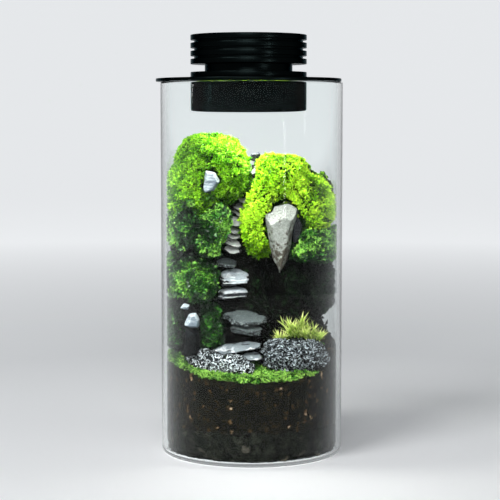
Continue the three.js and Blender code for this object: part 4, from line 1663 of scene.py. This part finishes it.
@dataclass(frozen=True)
class GrassTuft:
    """The yellow-green tuft on the right lava rock: short shoots with slim curved leaves.

    Attributes:
        bunches: Where its shoots stand.
        leaves: How many leaves a shoot has.
        length: The least and greatest length of a leaf.
        width: A leaf's greatest width.
        bend: The least and greatest angle that a leaf bends through, in radians.
        tones_and_painted_shade: The least and greatest brightness of a leaf.
        span: Half the width that the bunches stand over.
        steps: How many stretches a leaf has.
        seed: Picks its pattern.
    """

    bunches: tuple[Bunch, ...] = (
        Bunch(-0.25, 6 * MM, 14, 9.5 * MM),
        Bunch(0.25, 5 * MM, 8, 5 * MM),
        Bunch(0.72, 5 * MM, 7, 2 * MM),
        Bunch(-1.05, 3.5 * MM, 5, 1.5 * MM),
    )
    leaves: int = 13
    length: Pair = (4.2 * MM, 7.2 * MM)
    width: float = 0.85 * MM
    bend: Pair = (0.4, 1.1)
    tones_and_painted_shade: Pair = (0.5, 1.0)
    span: float = 10.5 * MM
    steps: int = 6
    seed: int = 97

    def build(self, room: float) -> None:
        """Builds the tuft.

        Args:
            room: The radius that the leaves keep to.
        """
        rng = np.random.default_rng(self.seed)
        shoots = zip(*(self.shoots(bunch, rng) for bunch in self.bunches))
        roots, along, out = (np.concatenate(parts) for parts in shoots)
        count = len(roots)
        length = rng.uniform(*self.length, count)
        bend = rng.uniform(*self.bend, count)
        across = unit(np.cross(along, out))
        spine, rows = roots, []
        for step in range(self.steps + 1):
            t = step / self.steps
            turn = (bend * t)[:, None]
            forward = unit(along * np.cos(turn) + out * np.sin(turn))
            half_width = 0.5 * self.width * (1 - t**1.8) * min(1, 0.45 + 2.2 * t) + 0.02 * MM
            fold = np.cross(forward, across) * 0.35 * half_width
            rows.append(np.stack([spine - across * half_width, spine - fold, spine + across * half_width], 1))
            spine = spine + forward * (length / self.steps)[:, None]
        points = np.stack(rows, axis=1).reshape(-1, 3)
        leaf = np.arange(count)[:, None, None, None] * 3 * (self.steps + 1)
        corner = leaf + 3 * np.arange(self.steps)[:, None, None] + np.arange(2)[:, None]
        faces = np.concatenate([(corner + (0, 1, 4)).reshape(-1, 3), (corner + (0, 4, 3)).reshape(-1, 3)])
        masks = {
            "tip": np.tile(np.repeat(np.linspace(0.15, 1, self.steps + 1), 3), count),
            "tone": np.repeat(rng.uniform(*self.tones_and_painted_shade, count), 3 * (self.steps + 1)),
        }
        skin = Skin(points, faces, masks).within(room)
        skin.piece("tuft_blades", TUFT_LEAVES, "tuft_blades", ["grass_tuft"], flat=True)

    def shoots(self, bunch: Bunch, rng: np.random.Generator) -> tuple[np.ndarray, np.ndarray, np.ndarray]:
        """Where the leaves of a bunch start and how they head.

        Args:
            bunch: The bunch.
            rng: The seeded random source.

        Returns:
            Each leaf's root, its first direction, and the direction that it bends to.
        """
        x, y = centre_of("grass_tuft")
        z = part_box("grass_tuft")[0].z + 3.4 * MM
        count = bunch.shoots
        across = x + bunch.side * self.span + rng.uniform(-0.5, 0.5, count) * bunch.width
        back = y + rng.uniform(-2.6, 2.6, count) * MM
        foot = np.stack([across, back, np.full(count, z - 1.8 * MM * bunch.side**2)], axis=1)
        lean = rng.normal(0, 0.22, (count, 2)) + (foot[:, :2] - foot[:, :2].mean(axis=0)) / (9 * MM)
        stem = unit(np.concatenate([lean, np.ones((count, 1))], axis=1))
        height = bunch.height * rng.uniform(0.45, 1.0, (count, 1, 1))
        share = np.linspace(0.1, 1.0, self.leaves)[None, :, None]
        roots = foot[:, None] + stem[:, None] * height * share
        out = whorl(stem, unit(np.cross(stem, (0, 1, 0.2))), self.leaves, rng)
        spread = rng.uniform(0.15, 0.75, (count, self.leaves, 1)) * (1.25 - 0.7 * share)
        along = unit(stem[:, None] * np.cos(spread) + out * np.sin(spread))
        return roots.reshape(-1, 3), along.reshape(-1, 3), out.reshape(-1, 3)


# The studio


@dataclass(frozen=True)
class Studio:
    """Floor, wall, lights and camera.

    Attributes:
        lens: The camera's focal length in millimetres.
        pitch: How far the camera looks down, in degrees.
        stand: Where the camera stands.
        floor: The floor's radius.
        reach: The radius at which the wall starts to rise.
        curve: The radius of the wall's curve.
        back: Where the wall's back part starts, between the front, -1, and the back, 1.
        near: The radius out to which the paper shines least.
        fading: The stretch over which it comes to shine most.
        sky: The colour of the light from all round.
        sky_strength: The strength of that light.
        middle: What the studio's lights point at.
        beam: The power of the lid lamp's beam, in watts.
        glow: The power of its wide glow.
        aim: What the lid's lamp points at.
        warm: The colour of the lid lamp's light.
    """

    lens: float = 109.37
    pitch: float = 5.114
    stand: Place = (-0.000884, -0.83707, 0.18606)
    floor: float = 0.75
    reach: float = 2.4
    curve: float = 1.4
    back: float = 0.7
    near: float = 0.35
    fading: float = 1.05
    sky: Colour = (0.88, 0.94, 1.0)
    sky_strength: float = 0.2
    middle: Place = (0.0, 0.0, 0.11)
    beam: float = 0.14
    glow: float = 0.17
    aim: Place = (0.008, 0.0, 0.1)
    warm: Colour = (1.0, 1.0, 0.94)

    def build(self) -> None:
        """Builds the studio."""
        self.build_camera()
        self.build_floor()
        self.build_lights()
        self.build_card("right_card", 0.06, (0.085, 0.255), (0.78, -0.92))

    def build_camera(self) -> None:
        """Stands the camera where the photograph was taken from."""
        camera = placed("camera", bpy.data.cameras.new("camera"))
        camera.data.lens = self.lens
        camera.data.clip_start = 0.01
        camera.location = self.stand
        camera.rotation_euler = Euler((math.radians(90 - self.pitch), 0, 0))
        bpy.context.scene.camera = camera

    def sheet(self, name: str, points: np.ndarray, faces: np.ndarray, paper: PaperFinish) -> bpy.types.Object:
        """Adds a sheet of paper, which isn't part of the object.

        Args:
            name: Its name.
            points: Its points.
            faces: The point numbers of each face, in order round it.
            paper: Its finish.

        Returns:
            The sheet.
        """
        mesh = bpy.data.meshes.new(name)
        mesh.from_pydata(points.tolist(), [], faces.tolist())
        mesh.materials.append(paper.material())
        made = placed(name, mesh)
        return made

    def build_card(self, name: str, width: float, heights: Pair, at: Pair) -> None:
        """Stands up a bright card that only the gloss shows.

        Args:
            name: Its name.
            width: Its width.
            heights: The heights of its lower and upper edge.
            at: Where it stands on the floor.
        """
        foot = Vector(at)
        half = Vector((-foot.y, foot.x)).normalized() * (0.5 * width)
        corners = [(*(foot + side * half), z) for z in heights for side in (-1, 1)]
        card = self.sheet(name, np.array(corners), np.array([(0, 1, 3, 2)]), LIGHT_CARD)
        card.visible_camera = card.visible_diffuse = card.visible_transmission = card.visible_shadow = False

    def build_floor(self) -> None:
        """Builds a round floor and a wide wall that curves up all round it."""
        rise = [
            (self.reach + self.curve * math.sin(a), self.curve * (1 - math.cos(a)))
            for a in np.linspace(0.1, 1.35, 14)
        ]
        wall = [(self.floor, 0), (1.0, 0), (1.4, 0), (self.reach, 0), *rise]
        self.screen("floor", [(0, 0), (0.35, 0), (0.55, 0), (self.floor, 0)], (-1, 1))
        self.screen("back_wall", wall, (self.back, 1)).visible_diffuse = False
        front = self.screen("front_wall", wall, (-1, self.back))
        front.visible_diffuse = front.visible_glossy = False

    def screen(self, name: str, profile: Sequence[Pair], sides: Pair) -> bpy.types.Object:
        """Adds a sheet of studio paper, turned round the jar's axis.

        Args:
            name: Its name.
            profile: Pairs of radius and height.
            sides: Where it starts and ends between the front, -1, and the back, 1.

        Returns:
            The sheet.
        """
        skin = turned(profile, 96, (0, 0))
        middle = skin.points[skin.faces].mean(axis=1)
        side = middle[:, 1] / np.linalg.norm(middle[:, :2], axis=1)
        faces = skin.faces[(side >= sides[0]) & (side < sides[1] + 0.001)]
        sheet = self.sheet(name, skin.points, faces[:, ::-1], FLOOR_PAPER)
        sheet.data.shade_smooth()
        away = np.clip((np.linalg.norm(skin.points[:, :2], axis=1) - self.near) / self.fading, 0, 1)
        write_mask(sheet.data, "far", away)
        return sheet

    def light(
        self, name: str, size: Pair, power: float, at: Place, to: Place, colour: Colour = WHITE
    ) -> bpy.types.Object:
        """Adds an area light.

        Args:
            name: Its name.
            size: Its width and height in metres.
            power: Its power in watts.
            at: Where it stands.
            to: What it points at.
            colour: Its colour.

        Returns:
            The light.
        """
        lamp = placed(name, bpy.data.lights.new(name, "AREA"))
        lamp.data.shape = "RECTANGLE"
        lamp.data.size, lamp.data.size_y = size
        lamp.data.energy = power
        lamp.data.color = colour
        lamp.location = at
        lamp.rotation_euler = (Vector(to) - Vector(at)).to_track_quat("-Z", "Y").to_euler()
        return lamp

    def build_lights(self) -> None:
        """Hangs the soft lights and switches on the lid's lamp."""
        world = bpy.data.worlds.new("studio")
        world.use_nodes = True
        sky = world.node_tree.nodes["Background"]
        sky.inputs["Color"].default_value = (*self.sky, 1)
        sky.inputs["Strength"].default_value = self.sky_strength
        bpy.context.scene.world = world
        self.light("key", (0.6, 0.8), 14, (-0.8, -0.85, 1.2), self.middle)
        self.light("fill", (0.6, 0.4), 5.4, (-0.06, -1.15, 0.68), self.middle)
        self.light("left_strip", (0.07, 0.7), 1.6, (-1.25, -0.2, 0.3), (0, 0, 0.2)).visible_glossy = False
        self.build_lid_lamp()
        bpy.context.scene.view_settings.view_transform = "Standard"

    def build_lid_lamp(self) -> None:
        """Switches on the lid's lamp: a beam down the jar and a wide glow."""
        low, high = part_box("diffuser_retainer")
        centre = (*centre_of("diffuser_retainer"), low.z - 0.6 * MM)
        width = high.x - low.x - 6 * MM
        for name, power, spread in (("lid_beam", self.beam, 80), ("lid_glow", self.glow, 160)):
            lamp = self.light(name, (width, width), power, centre, self.aim, self.warm)
            lamp.data.shape = "DISK"
            lamp.data.spread = math.radians(spread)
            lamp.visible_camera = False


# The whole planting


def stair() -> list[Stone]:
    """The slates of the stair in the ravine, from its foot up."""
    plain = Stone(
        "slate", SLATE, "slate", 0.45 * MM, 1, layers=0.9 * MM, dip=0.6 * MM, thin=0.85, breaks=6, steep=0.9,
        deep=0.68, ragged=1 * MM,
    )
    damp, rough = replace(plain, finish=DAMP_SLATE), replace(plain, finish=ROUGH_SLATE)
    broad = replace(rough, thin=1.0)
    sliver = replace(plain, finish=PALE_SLATE_PAINTED_LIGHT, dip=1.6 * MM, thin=0.35)
    upper = replace(sliver, hump=0.2 * MM, taper=0.1, dip=1.5 * MM)
    slates = (
        replace(damp, hump=0.3 * MM, tilt=0.4 * MM, taper=0.3, deep=0.85),
        replace(damp, hump=0.2 * MM, tilt=1.1 * MM, taper=0.55, dip=1 * MM, deep=0.9),
        replace(rough, hump=0.3 * MM, tilt=-0.5 * MM, taper=0.2, dip=0.8 * MM, deep=0.8, ragged=3 * MM),
        replace(broad, hump=0.8 * MM, tilt=-1.2 * MM, taper=0.6, dip=2 * MM, deep=0.75, ragged=3.5 * MM),
        replace(plain, hump=0.6 * MM, tilt=0.2 * MM, taper=0.1, dip=0.3 * MM, ragged=2 * MM),
        replace(plain, hump=1.2 * MM, tilt=0.1 * MM, taper=0.3, dip=1.6 * MM, ragged=2 * MM),
        replace(rough, hump=0.6 * MM, tilt=-0.4 * MM, taper=0.2, dip=0.8 * MM),
        replace(sliver, hump=0.3 * MM, tilt=0.2 * MM, taper=0.2),
        replace(sliver, hump=0.5 * MM, tilt=-1 * MM, taper=0.2),
        replace(sliver, hump=0.2 * MM, tilt=-1 * MM, taper=0.1),
        replace(sliver, hump=0.3 * MM, tilt=-0.9 * MM, taper=0.2),
        replace(sliver, hump=0.3 * MM, tilt=-0.4 * MM, taper=0.1, dip=2 * MM, thin=0.6),
        replace(upper, tilt=-0.9 * MM),
        replace(upper, tilt=-0.9 * MM),
        replace(upper, tilt=-0.4 * MM, thin=0.45),
    )
    return [replace(slate, node=f"slate_{k:02d}", seed=30 + k) for k, slate in enumerate(slates, 1)]


def single_stones() -> list[Stone]:
    """The stones that stand alone."""
    buried = Stone("stone", DARK_STONE, "pale_stone", 0.6 * MM, 3, 0.5 * MM)
    lava = Stone("lava", LAVA, "lava", 0.5 * MM, 3, 0.5 * MM, wrinkle=0.7 * MM, breaks=0)
    return [
        Stone("pale_wedge", PALE_STONE, "pale_stone", 0.6 * MM, 2, 0.6 * MM, 0.25 * MM, stain=0.5, seed=11),
        replace(buried, node="saddle_stone", wear=1.2 * MM, seed=12),
        replace(buried, node="ravine_stone", finish=PALE_SLATE_PAINTED_LIGHT, stain=0.8, wear=-0.5 * MM, seed=13),
        Stone("left_stone_top", BLUE_STONE, "pale_stone", 0.4 * MM, 2, 0.4 * MM, seed=14),
        Stone("left_stone", BLUE_STONE, "pale_stone", 0.5 * MM, 2, 0.7 * MM, seed=15),
        Stone("blue_stone", BLUE_STONE, "blue_stone", 0.5 * MM, 2, 0.5 * MM, seed=16),
        Stone("dark_shard", DARK_STONE, "dark_stone", 0.5 * MM, 2, 0.7 * MM, seed=17),
        Stone("left_post", POST_STONE, "dark_stone", 0.6 * MM, 2, 0.9 * MM, seed=18),
        replace(lava, node="lava_rock_left", voxel=0.46 * MM, tilt=-1.2 * MM, seed=19),
        replace(lava, node="lava_rock_right", finish=BLACK_LAVA, seed=20),
    ]


def moss_patches() -> list[MossPatch]:
    """Every patch of moss in the jar, and the bare bank behind them."""
    bright = (Moss.BRIGHT, BRIGHT_LEAVES, "bright_moss")
    sunny = (Moss.BRIGHT, SUNNY_LEAVES, "bright_moss")
    small = (Moss.SMALL_LEAVED, SMALL_LEAVES, "leaf_moss")
    carpet = (Moss.CARPET, CARPET_LEAVES, "carpet_moss")
    dark = (Moss.SPARSE, SHADE_PAINTED_LEAVES)
    deep = (4.5 * MM, 1.4 * MM, 2.3 * MM)
    short = (3 * MM, 0.9 * MM, 0.5 * MM)
    bare = (7 * MM, 1.5 * MM, 2 * MM)
    return [
        # Painted light and shade: light paints the hills' leaves brighter and the low patches darker, for how
        # well each patch is lit.
        MossPatch("moss_hill_left", *bright, 16000, *deep, light=1.55, flat=2.8 * MM, coarse=0.7, seed=1),
        MossPatch("moss_hill_right", *sunny, 16000, *deep, light=2.3, flat=0.8 * MM, coarse=0.7, seed=2),
        MossPatch("moss_ledge_left", *small, 4200, light=1.3, seed=3),
        MossPatch("moss_clump_left", *small, 3600, light=1.0, seed=4),
        MossPatch("moss_clump_right", *small, 3600, light=1.1, seed=5),
        MossPatch("moss_low_left", *small, 1500, 3.5 * MM, light=0.7, seed=6),
        MossPatch("moss_low_middle", *small, 1700, 3.5 * MM, light=0.5, seed=7),
        MossPatch("moss_recess", *dark, "dark_moss", 2400, bed=DARK_BED, seed=8),
        MossPatch("moss_carpet", *carpet, 9000, *short, voxel=0.9 * MM, light=1.6, seed=9),
        MossPatch("planting_bank", *dark, "bank_earth", 3600, *bare, bed=DARK_BED, voxel=1.8 * MM, seed=10),
    ]


def main() -> None:
    """Builds every sub-assembly in order."""
    logging.basicConfig(level=logging.INFO, format="%(message)s")
    Studio().build()
    jar = Jar()
    jar.build()
    LampLid().build()
    GroundLayer("drainage_gravel", "gravel", GRAVEL, 1.0 * MM, 1.0 * MM, 5).build(jar.room)
    GroundLayer("soil", "soil", SOIL, 0.6 * MM, 0.95 * MM, 6).build(jar.room)
    for stone in (*stair(), *single_stones()):
        stone.build()
    planting = [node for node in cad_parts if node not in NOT_IN_THE_WAY]
    shade = Surroundings(planting)
    for patch in moss_patches():
        patch.build(jar.room, Surroundings(node for node in planting if node != patch.node), shade)
    GrassTuft().build(jar.room)


if __name__ == "__main__":
    main()
